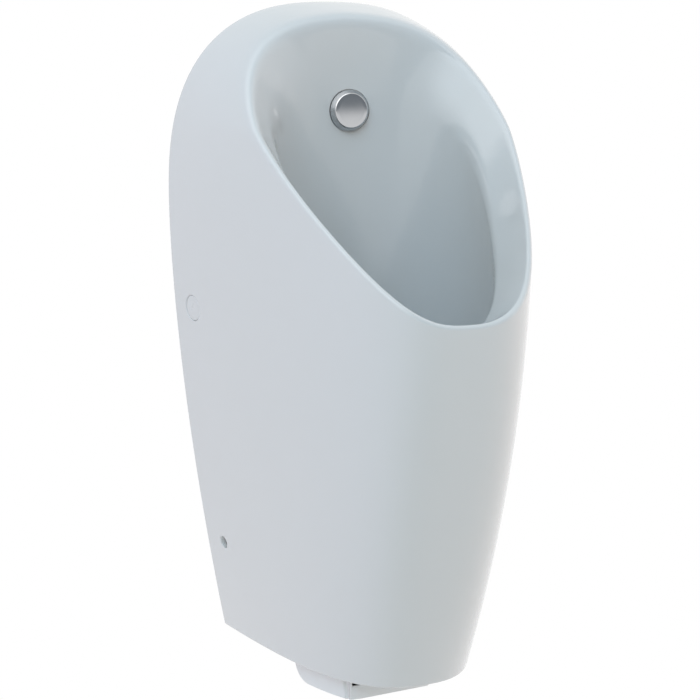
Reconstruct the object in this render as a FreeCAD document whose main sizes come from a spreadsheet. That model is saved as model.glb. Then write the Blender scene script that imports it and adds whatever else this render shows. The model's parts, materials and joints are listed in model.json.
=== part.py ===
import FreeCAD, Part
import math
import os
import re
import Sketcher
from FreeCAD import Placement, Rotation, Vector

# Wall hung urinal, in millimetres. The wall is the plane y = 0 and the front faces -Y.
# z = 0 is the lower edge of the ceramic, x = 0 its plane of symmetry, +Z is up.

doc = FreeCAD.newDocument("WallHungUrinal")
sheet = doc.addObject("Spreadsheet::Sheet", "Dims")

DIMENSIONS = {
    # outline of the ceramic on the wall
    "overall_height": 650.0,
    "half_width": 171.7,
    "shoulder_height": 455.0,
    "crown_power": 2.55,
    "base_narrowing": 54.2,
    "narrowing_power": 1.62,
    # depth of the ceramic, measured from the wall
    "base_depth": 250.6,
    "belly_depth": 361.8,
    "belly_height": 527.4,
    "belly_power": 1.85,
    "crown_depth_power": 1.2,
    # sloping rim, seen from the side
    "rim_back_depth": 64.4,
    "rim_back_height": 637.0,
    "rim_back_angle": 65.6,
    "rim_back_pull": 107.5,
    "rim_lip_depth": 348.6,
    "rim_lip_height": 363.5,
    "rim_lip_angle": 72.0,
    "rim_lip_pull": 41.3,
    "rim_land": 4.0,
    # bowl: the fold where the collar turns into the basin, then the drain
    "fold_back_depth": 61.3,
    "fold_back_height": 575.3,
    "fold_front_depth": 299.2,
    "fold_front_height": 343.6,
    "fold_half_width": 101.3,
    "fold_egg": 12.9,
    "fold_square": 6.4,
    "floor_radius": 45.0,
    "floor_height": 152.0,
    "drain_depth": 128.0,
    "drain_radius": 37.0,
    "seat_radius": 42.0,
    "seat_sink": 3.0,
    # walls of the ceramic
    "skin_wall": 9.0,
    "bowl_wall": 11.0,
    # fixing holes in the sides
    "side_hole_depth": 35.0,
    "upper_hole_height": 346.0,
    "lower_hole_height": 100.0,
    "side_hole_radius": 6.3,
    "cap_radius": 13.0,
    "cap_sink": 9.0,
    "boss_radius": 20.0,
    "running_gap": 0.3,
    "slip_gap": 0.05,
    # steel brackets on the wall
    "steel_sheet": 2.5,
    "upper_ear_reach": 141.0,
    "lower_ear_reach": 110.0,
    "ear_depth": 52.0,
    "ear_height": 40.0,
    "frame_bottom": 16.0,
    "frame_height": 174.0,
    "wall_hole_radius": 5.0,
    "upper_hole_pitch": 200.0,
    "frame_hole_pitch": 196.0,
    "frame_hole_rise": 124.0,
    "frame_hole_height": 36.0,
    # side screws with their bushes and nuts
    "screw_radius": 4.0,
    "screw_head_radius": 5.9,
    "screw_head_height": 5.0,
    "screw_length": 25.0,
    "screw_play": 0.5,
    "screw_socket_corner": 3.4,
    "bush_radius": 5.2,
    "bush_length": 6.0,
    "lower_hole_sink": 10.0,
    "bush_flange_height": 1.5,
    "nut_height": 8.0,
    "nut_corner_radius": 7.5,
    "cap_shell": 2.0,
    # spray nozzle
    "nozzle_height": 541.5,
    "nozzle_spot_depth": 60.8,
    "nozzle_spot_radius": 21.6,
    "nozzle_back_depth": 52.0,
    "nozzle_back_radius": 18.0,
    "nozzle_cap_radius": 20.9,
    "nozzle_face_radius": 17.2,
    "nozzle_cap_height": 8.5,
    "nozzle_cap_skirt": 2.4,
    "spray_slot_width": 14.0,
    "spigot_radius": 12.0,
    "stem_bore_radius": 4.5,
    "nozzle_cap_wall": 2.0,
    "gasket_height": 1.2,
    "stem_radius": 8.0,
    "stem_flange_radius": 14.5,
    "stem_flange_height": 3.0,
    "nozzle_washer_radius": 16.0,
    "nozzle_washer_height": 2.0,
    "nozzle_nut_height": 7.0,
    "nozzle_nut_corner": 14.5,
    "elbow_radius": 11.0,
    "elbow_length": 26.0,
    "elbow_wall": 3.0,
    "elbow_grip": 8.0,
    "tail_radius": 6.2,
    "tail_drop": 46.0,
    "tail_depth": 27.0,
    "tail_bore_radius": 4.2,
    # hose
    "hose_radius": 9.0,
    "hose_end_gap": 1.0,
    "clamp_width": 8.0,
    "clamp_band": 1.2,
    # water inlet and solenoid valve
    "inlet_across": 62.0,
    "inlet_height": 60.0,
    "inlet_depth": 30.0,
    "inlet_thread_radius": 10.4,
    "inlet_thread_length": 12.0,
    "inlet_bore_radius": 6.5,
    "inlet_body_radius": 13.0,
    "inlet_body_height": 30.0,
    "inlet_neck_radius": 9.5,
    "inlet_top_thread": 10.0,
    "spindle_radius": 5.0,
    "spindle_port_radius": 9.0,
    "spindle_port_depth": 46.0,
    "spindle_head_radius": 7.0,
    "spindle_head_height": 3.0,
    "spindle_slot": 1.6,
    "spindle_tip_gap": 1.5,
    "union_height": 14.0,
    "union_corner": 16.0,
    "union_grip": 8.0,
    "union_seal_height": 1.5,
    "union_flange_radius": 10.2,
    "union_flange_height": 2.0,
    "valve_tail_radius": 8.6,
    "valve_tail_height": 12.0,
    "valve_body_radius": 15.0,
    "valve_body_height": 36.0,
    "valve_outlet_length": 22.0,
    "pilot_radius": 2.0,
    "pilot_drop": 10.0,
    "chamber_radius": 18.0,
    "chamber_length": 18.0,
    "chamber_bore_radius": 14.0,
    "chamber_bore_length": 7.0,
    "diaphragm_height": 2.0,
    "diaphragm_radius": 13.7,
    "bonnet_height": 5.0,
    "plunger_radius": 5.0,
    "plunger_length": 18.0,
    "guide_wall": 1.3,
    "guide_length": 32.0,
    "spring_length": 9.0,
    "spring_wall": 1.0,
    "coil_side": 30.0,
    "coil_length": 26.0,
    "coil_stand_off": 2.5,
    "coil_plug_length": 6.0,
    "coil_plug_side": 9.0,
    "retainer_radius": 10.0,
    "retainer_height": 2.5,
    "bonnet_screw_circle": 16.0,
    "bonnet_screw_radius": 1.3,
    "bonnet_screw_head": 2.2,
    "bonnet_screw_head_height": 2.0,
    "bonnet_screw_length": 9.0,
    "filter_radius": 5.8,
    "filter_height": 12.0,
    # drain, trap and outlet
    "sleeve_radius": 36.5,
    "sleeve_wall": 2.5,
    "sleeve_length": 33.0,
    "sleeve_flange_radius": 41.5,
    "sleeve_flange_height": 2.0,
    "drain_seal_radius": 48.0,
    "drain_seal_height": 3.0,
    "drain_nut_radius": 47.0,
    "drain_nut_height": 12.0,
    "trap_radius": 44.0,
    "trap_wall": 3.0,
    "trap_bottom": 40.0,
    "trap_floor": 8.0,
    "trap_ledge": 6.0,
    "trap_ledge_radius": 37.5,
    "trap_seal_height": 6.0,
    "trap_mouth_height": 8.0,
    "outlet_height": 82.0,
    "outlet_radius": 25.0,
    "outlet_wall": 2.7,
    "outlet_bead": 1.5,
    "outlet_free_length": 25.0,
    "outlet_seal_wall": 3.0,
    "outlet_seal_length": 7.5,
    "outlet_socket_radius": 32.0,
    "outlet_socket_depth": 60.0,
    "outlet_socket_length": 20.0,
    "outlet_clear_radius": 32.0,
    "inlet_clear_radius": 18.0,
    "cartridge_bottom": 62.0,
    "cartridge_wall": 2.8,
    "cartridge_flange_radius": 36.0,
    "cartridge_flange_height": 2.2,
    "standpipe_radius": 12.0,
    "standpipe_height": 60.0,
    "ring_height": 3.0,
    "ring_groove": 1.5,
    "ring_drop": 22.0,
    "ring_clearance": 0.08,
    "strainer_radius": 35.5,
    "strainer_height": 3.5,
    "strainer_collar_height": 6.0,
    "strainer_collar_wall": 2.0,
    "strainer_slot_width": 4.0,
    "strainer_slot_length": 6.5,
    "strainer_slot_count": 12.0,
    "bell_radius": 20.0,
    "bell_wall": 2.0,
    "bell_bottom": 78.0,
    # service cover under the ceramic
    "cover_inset": 12.0,
    "cover_drop": 22.0,
    "cover_front_depth": 206.0,
    "cover_back_depth": 126.0,
    "cover_round_depth": 150.0,
    "cover_wall": 2.5,
    "cover_plate_level": 2.0,
    "cover_plate_gap": 1.2,
    "cover_turn_across": 30.0,
    "cover_turn_set_back": 9.0,
    "cover_slot_inner": 43.0,
    "cover_slot_width": 11.5,
    "cover_slot_top": 4.0,
    "cover_slot_height": 6.5,
    "cover_groove_width": 7.0,
    "cover_groove_foot": 3.0,
    "cover_groove_sink": 1.6,
    "cover_plate_wall_gap": 3.0,
    "cover_post_across": 20.0,
    "cover_post_width": 10.0,
    "cover_post_sheet": 3.0,
    "holder_height": 12.0,
    "holder_width": 60.0,
    "holder_depth": 16.0,
    "holder_screw_radius": 2.0,
    "holder_screw_length": 18.0,
    "holder_screw_head": 4.0,
    "holder_head_height": 2.5,
    # electronics
    "box_left": 92.0,
    "box_width": 44.0,
    "box_depth": 55.0,
    "box_bottom": 22.0,
    "box_height": 78.0,
    "box_wall": 2.5,
    "lid_sheet": 3.0,
    "lid_screw_radius": 1.5,
    "lid_screw_length": 14.0,
    "lid_screw_head": 3.0,
    "lid_screw_head_height": 2.0,
    "lid_post_radius": 3.2,
    "lid_post_inset": 3.5,
    "board_width": 36.0,
    "board_height": 63.0,
    "board_sheet": 1.6,
    "board_stand_off": 4.0,
    "board_inset": 4.5,
    "peg_radius": 1.4,
    "battery_width": 30.0,
    "battery_depth": 20.0,
    "battery_height": 35.0,
    "battery_gap": 3.0,
    "box_screw_radius": 2.0,
    "box_screw_head": 3.8,
    "box_screw_head_height": 2.4,
    "box_screw_inset": 8.0,
    "gland_radius": 5.0,
    "gland_flange_radius": 7.0,
    "gland_flange_height": 2.0,
    "gland_length": 7.0,
    "gland_spacing": 20.0,
    "gland_depth": 30.0,
    "cable_radius": 2.2,
    "sensor_across": 32.0,
    "sensor_width": 40.0,
    "sensor_sheet": 12.0,
    "sensor_height": 56.0,
    "sensor_bottom": 400.0,
    "sensor_seat_depth": 51.0,
    "sensor_pad_sheet": 2.0,
    "sensor_pad_margin": 2.0,
    "sensor_boss_sink": 9.0,
}


def write_dimension(row, alias, size):
    sheet.set("A%d" % row, alias)
    sheet.set("B%d" % row, "%.9g" % size)
    sheet.setAlias("B%d" % row, alias)


for number, (alias, size) in enumerate(DIMENSIONS.items(), start=1):
    write_dimension(number, alias, size)
doc.recompute()


def dim(alias):
    """Value of one driving dimension, read back from the sheet."""
    return float(sheet.get(alias))


# Shares that shape the plan section at the base, at half height and at the top of the ceramic.
TAPER = (0.241, 0.4475, 0.202)
SIDE_PULL = (0.837, 0.995, 0.811)
NOSE_WIDTH = (0.493, 0.4135, 0.124)
CROWN_STEPS = (0, 15, 30, 44, 56, 66, 74, 80, 84.5, 88)
HALF_POINTS = 25
FLAT_POINTS = 240
RUN_OUT = 40.0
CIRCLE_PULL = 0.5523


def blend(base, middle, top, height):
    """Quadratic through three values at the base, half height and top of the ceramic."""
    f = height / dim("overall_height")
    return base + (top - base) * f + 4 * (middle - 0.5 * (base + top)) * f * (1 - f)


# ---------------------------------------------------------------- ceramic outline

def wall_half_width(z, inset=0.0):
    """Half width on the wall: a slow taper below the shoulder, a superellipse crown above."""
    shoulder, top = dim("shoulder_height"), dim("overall_height") - inset
    if z <= shoulder:
        drop = dim("base_narrowing") * ((shoulder - z) / shoulder) ** dim("narrowing_power")
        return dim("half_width") - inset - drop
    power = dim("crown_power")
    rise = min((z - shoulder) / (top - shoulder), 1.0)
    return (dim("half_width") - inset) * (1 - rise ** power) ** (1 / power)


def front_depth(z, inset=0.0):
    """Depth of the front at one height, as if the ceramic had no opening."""
    belly, top = dim("belly_height"), dim("overall_height") - inset
    if z <= belly:
        gain = dim("belly_depth") - dim("base_depth")
        return dim("belly_depth") - inset - gain * ((belly - z) / belly) ** dim("belly_power")
    power = dim("crown_depth_power")
    rise = min((z - belly) / (top - belly), 1.0)
    return (dim("belly_depth") - inset) * (1 - rise ** power) ** (1 / power)


def section_poles(z, inset=0.0):
    """Poles of the D-shaped plan section at height z, from the right wall edge to the left."""
    w, d = wall_half_width(z, inset), front_depth(z, inset)
    taper, side, nose = blend(*TAPER, z), blend(*SIDE_PULL, z), blend(*NOSE_WIDTH, z)
    right = [Vector(w, 0, z), Vector(w * (1 - taper), -d * side, z), Vector(w * nose, -d, z)]
    return right + [Vector(-p.x, p.y, z) for p in reversed(right)]


def section_wire(z, inset=0.0):
    curve = Part.BSplineCurve()
    poles = section_poles(z, inset)
    curve.buildFromPolesMultsKnots(poles, [4, 2, 4], [0, 1, 2], False, 3)
    return Part.Wire([curve.toShape(), Part.makeLine(poles[-1], poles[0])])


def body_solid(inset, bottom):
    """The full dome behind the opening, from the bottom level up to the crown."""
    shoulder, top = dim("shoulder_height"), dim("overall_height") - inset
    below = [bottom + (shoulder - bottom) * i / 6.0 for i in range(6)]
    above = [shoulder + (top - shoulder) * math.sin(math.radians(a)) ** (2 / dim("crown_power"))
             for a in CROWN_STEPS]
    return Part.makeLoft([section_wire(z, inset) for z in below + above], True, False)


def rim_curve():
    """Side view of the sloping opening, a cubic from the crown down to the lip."""
    back = Vector(0, -dim("rim_back_depth"), dim("rim_back_height"))
    lip = Vector(0, -dim("rim_lip_depth"), dim("rim_lip_height"))
    high, low = math.radians(dim("rim_back_angle")), math.radians(dim("rim_lip_angle"))
    start = Vector(0, -math.cos(high), -math.sin(high))
    end = Vector(0, -math.cos(low), -math.sin(low))
    curve = Part.BezierCurve()
    curve.setPoles([back, back + start * dim("rim_back_pull"), lip - end * dim("rim_lip_pull"), lip])
    return curve, start, end


def above_rim():
    """Everything in front of the sloping opening."""
    curve, start, end = rim_curve()
    back, lip = curve.getPole(1), curve.getPole(4)
    high, low = back - start * RUN_OUT, lip + end * RUN_OUT
    front = Vector(0, -2 * dim("belly_depth"), low.z)
    corner = Vector(0, front.y, high.z)
    edges = [Part.makeLine(high, back), curve.toShape(), Part.makeLine(lip, low)]
    edges += [Part.makeLine(low, front), Part.makeLine(front, corner), Part.makeLine(corner, high)]
    face = Part.Face(Part.Wire(edges))
    face.translate(Vector(-dim("overall_height"), 0, 0))
    return face.extrude(Vector(2 * dim("overall_height"), 0, 0))


def half_width_at(y, z, inset=0.0):
    """Half width of the outer surface, or of one inset from it, at one depth and height."""
    poles = section_poles(z, inset)[:3]
    nose = Vector(0, poles[2].y, z)
    low, high = 0.0, 1.0
    for _ in range(40):
        t = 0.5 * (low + high)
        weights = ((1 - t) ** 3, 3 * (1 - t) ** 2 * t, 3 * (1 - t) * t * t, t ** 3)
        point = sum((p * w for p, w in zip(poles + [nose], weights)), Vector())
        low, high = (t, high) if point.y > -y else (low, t)
    return point.x if y < -nose.y else 0.0


def even_points(points, count):
    """Count points at even steps along a polyline, both ends included."""
    lengths = [0.0]
    for a, b in zip(points, points[1:]):
        lengths.append(lengths[-1] + (b - a).Length)
    result, j = [], 0
    for i in range(count):
        target = lengths[-1] * i / (count - 1.0)
        while j < len(points) - 2 and lengths[j + 1] < target:
            j += 1
        share = (target - lengths[j]) / (lengths[j + 1] - lengths[j])
        result.append(points[j] + (points[j + 1] - points[j]) * share)
    return result


def rim_points(land):
    """Right half of the rim, from crown to lip, moved inwards by the width of the land.

    The slope of the opening is unrolled flat: x across, the length along the curve downwards.
    """
    curve = rim_curve()[0]
    total = curve.length()
    flat = []
    for i in range(FLAT_POINTS + 1):
        share = 0.5 - 0.5 * math.cos(math.pi * i / FLAT_POINTS)
        p = curve.value(curve.parameterAtDistance(total * share))
        width = half_width_at(-p.y, p.z) if 0 < i < FLAT_POINTS else 0.0
        flat.append(Vector(width, total * share, 0))
    moved = []
    for i, p in enumerate(flat):
        along = flat[min(i + 1, FLAT_POINTS)] - flat[max(i - 1, 0)]
        if i in (0, FLAT_POINTS):
            along = Vector(1 if i == 0 else -1, 0, 0)
        inward = Vector(-along.y, along.x, 0).normalize()
        q = p + inward * land
        if q.x > 0.5 or i in (0, FLAT_POINTS):
            moved.append(q)
    points = []
    for q in even_points(moved, HALF_POINTS):
        s = curve.value(curve.parameterAtDistance(q.y))
        points.append(Vector(q.x, s.y, s.z))
    return points


def fold_points(grow, sunk):
    """Right half of one basin section: sunk runs from 0 at the fold to 1 at the drain floor."""
    def ease(start, end, power):
        return end + (start - end) * (1 - sunk ** power) ** (1 / power)

    radius = dim("floor_radius")
    drop = grow * sunk
    back_y = ease(dim("fold_back_depth"), dim("drain_depth") - radius, 3.0) - grow
    front_y = ease(dim("fold_front_depth"), dim("drain_depth") + radius, 1.8) + grow
    floor = dim("floor_height") - drop
    back_z = dim("fold_back_height") + (floor - dim("fold_back_height")) * sunk
    front_z = dim("fold_front_height") + (floor - dim("fold_front_height")) * sunk
    if sunk == 0:
        slope = (dim("fold_back_height") - dim("fold_front_height")) \
            / (dim("fold_front_depth") - dim("fold_back_depth"))
        back_z, front_z = back_z + slope * grow, front_z - slope * grow
    half = ease(dim("fold_half_width"), radius, 2.2) + grow
    egg, square = dim("fold_egg") * (1 - sunk), dim("fold_square") * (1 - sunk)
    points = []
    for i in range(HALF_POINTS):
        a = math.pi * i / (HALF_POINTS - 1.0)
        x = half * math.sin(a) + egg * math.sin(2 * a) + square * math.sin(3 * a)
        f = 0.5 - 0.5 * math.cos(a)
        points.append(Vector(x, -(back_y + (front_y - back_y) * f), back_z + (front_z - back_z) * f))
    return points


def closed_wire(half):
    """A smooth closed wire through a right half outline and its mirror image."""
    right = Part.BSplineCurve()
    right.interpolate(Points=half, InitialTangent=Vector(1, 0, 0), FinalTangent=Vector(-1, 0, 0))
    left = Part.BSplineCurve()
    mirrored = [Vector(-p.x, p.y, p.z) for p in reversed(half)]
    left.interpolate(Points=mirrored, InitialTangent=Vector(-1, 0, 0), FinalTangent=Vector(1, 0, 0))
    return Part.Wire([right.toShape(), left.toShape()])


def basin_solid(grow):
    """The basin between the fold and the floor round the drain."""
    levels = [math.sin(math.radians(a)) for a in range(0, 100, 10)]
    return Part.makeLoft([closed_wire(fold_points(grow, s)) for s in levels], True, False)


def spread(half, normal, grow):
    """Move the points of a half outline outwards in its own plane."""
    result = []
    for i, p in enumerate(half):
        along = half[min(i + 1, len(half) - 1)] - half[max(i - 1, 0)]
        if i in (0, len(half) - 1):
            along = Vector(1 if i == 0 else -1, 0, 0)
        result.append(p - along.cross(normal).normalize() * grow)
    return result


def collar_solid(grow):
    """Funnel from the fold through the rim and on to a plane clear of the ceramic."""
    rise = dim("rim_back_height") - dim("rim_lip_height")
    run = dim("rim_lip_depth") - dim("rim_back_depth")
    normal = Vector(0, -rise, run).normalize()
    level = normal.dot(Vector(0, -dim("rim_back_depth"), dim("rim_back_height"))) + RUN_OUT
    outer = []
    for rim, fold in zip(rim_points(dim("rim_land")), fold_points(0.0, 0.0)):
        ray = rim - fold
        outer.append(fold + ray * ((level - normal.dot(fold)) / normal.dot(ray)))
    if grow:
        outer = spread(outer, normal, grow)
    return Part.makeLoft([closed_wire(outer), closed_wire(fold_points(grow, 0.0))], True, True)


# ---------------------------------------------------------------- building blocks

TURNS = {
    "Z": Rotation(),
    "-Z": Rotation(Vector(1, 0, 0), 180),
    "Y": Rotation(Vector(1, 0, 0), -90),
    "-Y": Rotation(Vector(1, 0, 0), 90),
    "X": Rotation(Vector(0, 1, 0), 90),
    "-X": Rotation(Vector(0, 1, 0), -90),
}
nodes = []


def bound(text):
    """An expression whose aliases are read from the sheet."""
    def full_name(match):
        word = match.group(0)
        return "Dims." + word if word in DIMENSIONS else word

    return re.sub("[a-z_]+", full_name, text)


def bind(obj, **sizes):
    for name, text in sizes.items():
        obj.setExpression(name, bound(text))


def put(obj, place, along="Z"):
    """Place an object with its own axis along a main direction, each coordinate bound."""
    obj.Placement = Placement(Vector(), TURNS[along])
    for axis, text in zip("xyz", place):
        obj.setExpression("Placement.Base." + axis, bound(text))
    return obj


def rod(radius, length, place, along="Z"):
    obj = doc.addObject("Part::Cylinder", "Rod")
    bind(obj, Radius=radius, Height=length)
    return put(obj, place, along)


def hexagon(corner, length, place, along="Z"):
    obj = doc.addObject("Part::Prism", "Hexagon")
    obj.Polygon = 6
    bind(obj, Circumradius=corner, Height=length)
    return put(obj, place, along)


def block(size, place):
    """A box from its three sizes and its corner with the lowest coordinates."""
    obj = doc.addObject("Part::Box", "Block")
    bind(obj, Length=size[0], Width=size[1], Height=size[2])
    return put(obj, place)


def joined(name, parts):
    obj = doc.addObject("Part::MultiFuse", name)
    obj.Shapes = parts
    return obj


def cut(name, base, tools):
    obj = doc.addObject("Part::Cut", name)
    obj.Base = base
    obj.Tool = tools[0] if len(tools) == 1 else joined("Cutters", tools)
    return obj


def group(name, parts):
    """Identical separate pieces kept in one node."""
    obj = doc.addObject("Part::Compound", name)
    obj.Links = parts
    return obj


def mirrored(obj):
    copy = doc.addObject("Part::Mirroring", "Mirrored")
    copy.Source = obj
    copy.Normal = Vector(1, 0, 0)
    return copy


def node(obj, name=None):
    """Name a finished sub-part and list it."""
    obj.Label = name or obj.Name
    nodes.append(obj)
    return obj


def shaped(name, shape):
    obj = doc.addObject("Part::Feature", name)
    obj.Shape = shape
    obj.Placement = Placement()
    return obj


def origin_plane(body, role):
    return [f for f in body.Origin.OriginFeatures if f.Role == role][0]


def turned(name, profile, place, along="Z"):
    """A body of revolution from a closed profile of (radius, height) expressions."""
    body = doc.addObject("PartDesign::Body", name)
    sketch = body.newObject("Sketcher::SketchObject", name + "_profile")
    sketch.AttachmentSupport = [(origin_plane(body, "XZ_Plane"), "")]
    sketch.MapMode = "FlatFace"
    count = len(profile)
    for i in range(count):
        here, there = Vector(10 + i, 5 + 3 * i, 0), Vector(11 + i, 8 + 3 * i, 0)
        sketch.addGeometry(Part.LineSegment(here, there), False)
    for i in range(count):
        sketch.addConstraint(Sketcher.Constraint("Coincident", i, 2, (i + 1) % count, 1))
    for i, (radius, height) in enumerate(profile):
        for kind, text, axis in (("DistanceX", radius, -2), ("DistanceY", height, -1)):
            if text == "0":
                sketch.addConstraint(Sketcher.Constraint("PointOnObject", i, 1, axis))
            else:
                index = sketch.addConstraint(Sketcher.Constraint(kind, -1, 1, i, 1, 10.0 + i))
                sketch.setExpression("Constraints[%d]" % index, bound(text))
    revolution = body.newObject("PartDesign::Revolution", name + "_turned")
    revolution.Profile = sketch
    revolution.ReferenceAxis = (sketch, ["V_Axis"])
    revolution.Angle = 360
    body.Tip = revolution
    sketch.Visibility = False
    return put(body, place, along)


# ---------------------------------------------------------------- ceramic and its side fixings

def derive(alias, size):
    """Add a dimension that follows from the others to the sheet."""
    DIMENSIONS[alias] = size
    write_dimension(len(DIMENSIONS), alias, size)
    sheet.recompute()


derive("upper_skin", half_width_at(dim("side_hole_depth"), dim("upper_hole_height")))
derive("lower_skin", half_width_at(dim("side_hole_depth"), dim("lower_hole_height")))

envelope = body_solid(0, 0)


def side_bore(side, radius, reach, height):
    """Cylinder from a given distance beside the middle out through the skin."""
    start = Vector(side * reach, -dim("side_hole_depth"), height)
    return Part.makeCylinder(radius, dim("half_width") + RUN_OUT - reach, start, Vector(side, 0, 0))


def side_bores():
    """Stepped holes: wide where the cap or the screw head sits, narrow for the bush."""
    bush, behind = dim("bush_radius") + dim("slip_gap"), 2 * dim("steel_sheet")
    cap_floor = dim("upper_skin") - dim("cap_sink")
    head_floor = dim("lower_skin") - dim("lower_hole_sink")
    tools = []
    for side in (1, -1):
        tools.append(side_bore(side, dim("cap_radius"), cap_floor, dim("upper_hole_height")))
        tools.append(side_bore(side, bush, dim("upper_ear_reach") - behind, dim("upper_hole_height")))
        tools.append(side_bore(side, dim("side_hole_radius"), head_floor, dim("lower_hole_height")))
        tools.append(side_bore(side, bush, dim("lower_ear_reach") - behind, dim("lower_hole_height")))
    return tools


def basin_tools():
    """Drain hole with its seat, nozzle hole with its two flat spots, and the flat for the sensor."""
    floor, depth = dim("floor_height"), dim("drain_depth")
    height, out = dim("nozzle_height"), Vector(0, -1, 0)
    seat, back = dim("nozzle_spot_depth"), dim("nozzle_back_depth")
    left = -dim("sensor_across") - dim("sensor_width") / 2
    sensor = Vector(left, -dim("sensor_seat_depth"), dim("sensor_bottom"))
    return [
        Part.makeCylinder(dim("drain_radius"), 2 * RUN_OUT, Vector(0, -depth, floor - RUN_OUT)),
        Part.makeCylinder(dim("seat_radius"), RUN_OUT, Vector(0, -depth, floor - dim("seat_sink"))),
        Part.makeCylinder(dim("stem_radius") + dim("running_gap"), 2 * RUN_OUT,
                          Vector(0, RUN_OUT - back, height), out),
        Part.makeCylinder(dim("nozzle_spot_radius"), RUN_OUT, Vector(0, -seat, height), out),
        Part.makeCylinder(dim("nozzle_back_radius"), back, Vector(0, -back, height), -out),
        Part.makeBox(dim("sensor_width"), dim("sensor_seat_depth"), dim("sensor_height"), sensor),
    ]


def ceramic():
    """Shell open at the back and below, with the basin, its bosses and all holes."""
    room = body_solid(dim("skin_wall"), -RUN_OUT)
    back = max(room.Faces, key=lambda face: face.CenterOfMass.y)
    room = room.fuse(back.extrude(Vector(0, RUN_OUT, 0)))
    wall = dim("bowl_wall")
    margin, reach, sink = dim("sensor_pad_margin"), dim("sensor_width"), dim("sensor_boss_sink")
    corner = Vector(-dim("sensor_across") - reach / 2 - margin, -dim("sensor_seat_depth") - sink,
                    dim("sensor_bottom") - margin)
    pads = [Part.makeBox(reach + 2 * margin, sink, dim("sensor_height") + 2 * margin, corner)]
    for side in (1, -1):
        for reach, height in (("upper_ear_reach", "upper_hole_height"),
                              ("lower_ear_reach", "lower_hole_height")):
            inner = dim(reach) + dim("running_gap")
            pads.append(side_bore(side, dim("boss_radius"), inner, dim(height)))
    kept = collar_solid(wall).fuse(basin_solid(wall))
    room = room.cut(kept)
    for pad in pads:
        room = room.cut(pad)
    shell = envelope.cut(above_rim()).cut(room)
    shell = shell.cut(collar_solid(0).fuse(basin_solid(0)))
    for tool in basin_tools() + side_bores():
        shell = shell.cut(tool)
    return max(shell.Solids, key=lambda solid: solid.Volume)


def cover_cap(side):
    """Hollow plug in the counterbore, its outer face flush with the glaze."""
    floor = dim("upper_skin") - dim("cap_sink")
    start = Vector(side * floor, -dim("side_hole_depth"), dim("upper_hole_height"))
    out, radius = Vector(side, 0, 0), dim("cap_radius") - dim("slip_gap")
    plug = Part.makeCylinder(radius, 3 * dim("cap_sink"), start, out)
    hollow = Part.makeCylinder(radius - dim("cap_shell"), dim("cap_sink") - dim("cap_shell"), start, out)
    return plug.common(envelope).cut(hollow).Solids[0]


def on_side(across, height):
    return (across, "-side_hole_depth", height)


def side_screw(seat, height):
    """Socket head screw pointing inwards."""
    shank = rod("screw_radius", "screw_length", on_side(seat + " - screw_length", height), "X")
    head = rod("screw_head_radius", "screw_head_height", on_side(seat, height), "X")
    start = on_side(seat + " + screw_head_height / 2", height)
    socket = hexagon("screw_socket_corner", "screw_head_height", start, "X")
    return cut("Screw", joined("Blank", [shank, head]), [socket])


def side_bush(seat, height):
    sleeve = rod("bush_radius", "bush_length", on_side(seat + " - bush_length", height), "X")
    flange = rod("side_hole_radius - slip_gap", "bush_flange_height", on_side(seat, height), "X")
    length = "bush_length + bush_flange_height"
    bore = rod("screw_radius + slip_gap", length, on_side(seat + " - bush_length", height), "X")
    return cut("Bush", joined("Blank", [sleeve, flange]), [bore])


def side_nut(reach, height):
    start = on_side(reach + " - steel_sheet - nut_height", height)
    body = hexagon("nut_corner_radius", "nut_height", start, "X")
    return cut("Nut", body, [rod("screw_radius + slip_gap", "nut_height", start, "X")])


def both_sides(name, make, upper, lower):
    """Four identical pieces: two heights, left and right."""
    pieces = [make(upper, "upper_hole_height"), make(lower, "lower_hole_height")]
    return node(group(name, pieces + [mirrored(piece) for piece in pieces]))


def bracket(name, reach, plate_bottom, plate_height, ear_bottom, holes):
    """Flat plate on the wall with an ear folded forward at each end."""
    plate = block(("2 * " + reach, "steel_sheet", plate_height),
                  ("-" + reach, "-steel_sheet", plate_bottom))
    ears = [block(("steel_sheet", "ear_depth", "ear_height"), (start, "-ear_depth", ear_bottom))
            for start in ("-" + reach, reach + " - steel_sheet")]
    middle = ear_bottom + " + ear_height / 2"
    through = rod("screw_radius + screw_play", "2 * " + reach, on_side("-" + reach, middle), "X")
    tools = [rod(radius, "steel_sheet", (x, "-steel_sheet", z), "Y") for radius, x, z in holes]
    return node(cut(name, joined("Blank", [plate] + ears), [through] + tools))


def side_fixings():
    node(shaped("side_cover_caps", Part.makeCompound([cover_cap(1), cover_cap(-1)])))
    upper, lower = "upper_skin - cap_sink", "lower_skin - lower_hole_sink"
    both_sides("side_screw_bushes", side_bush, upper, lower)
    both_sides("side_fixing_screws", side_screw, upper + " + bush_flange_height",
               lower + " + bush_flange_height")
    both_sides("side_weld_nuts", side_nut, "upper_ear_reach", "lower_ear_reach")


def brackets():
    ear = "upper_hole_height - ear_height / 2"
    holes = [("wall_hole_radius", sign + "upper_hole_pitch / 2", "upper_hole_height") for sign in ("", "-")]
    bracket("upper_hanger_bracket", "upper_ear_reach", ear, "ear_height", ear, holes)
    holes = [("wall_hole_radius", sign + "frame_hole_pitch / 2", "frame_hole_height" + rise)
             for sign in ("", "-") for rise in ("", " + frame_hole_rise")]
    holes.append(("outlet_clear_radius", "0", "outlet_height"))
    holes.append(("inlet_clear_radius", "inlet_across", "inlet_height"))
    holes += [("box_screw_radius + slip_gap", "box_width / 2 - box_left", z) for z in BOX_SCREW_HEIGHTS]
    bracket("base_frame", "lower_ear_reach", "frame_bottom", "frame_height",
            "lower_hole_height - ear_height / 2", holes)


# ---------------------------------------------------------------- spray nozzle

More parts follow.
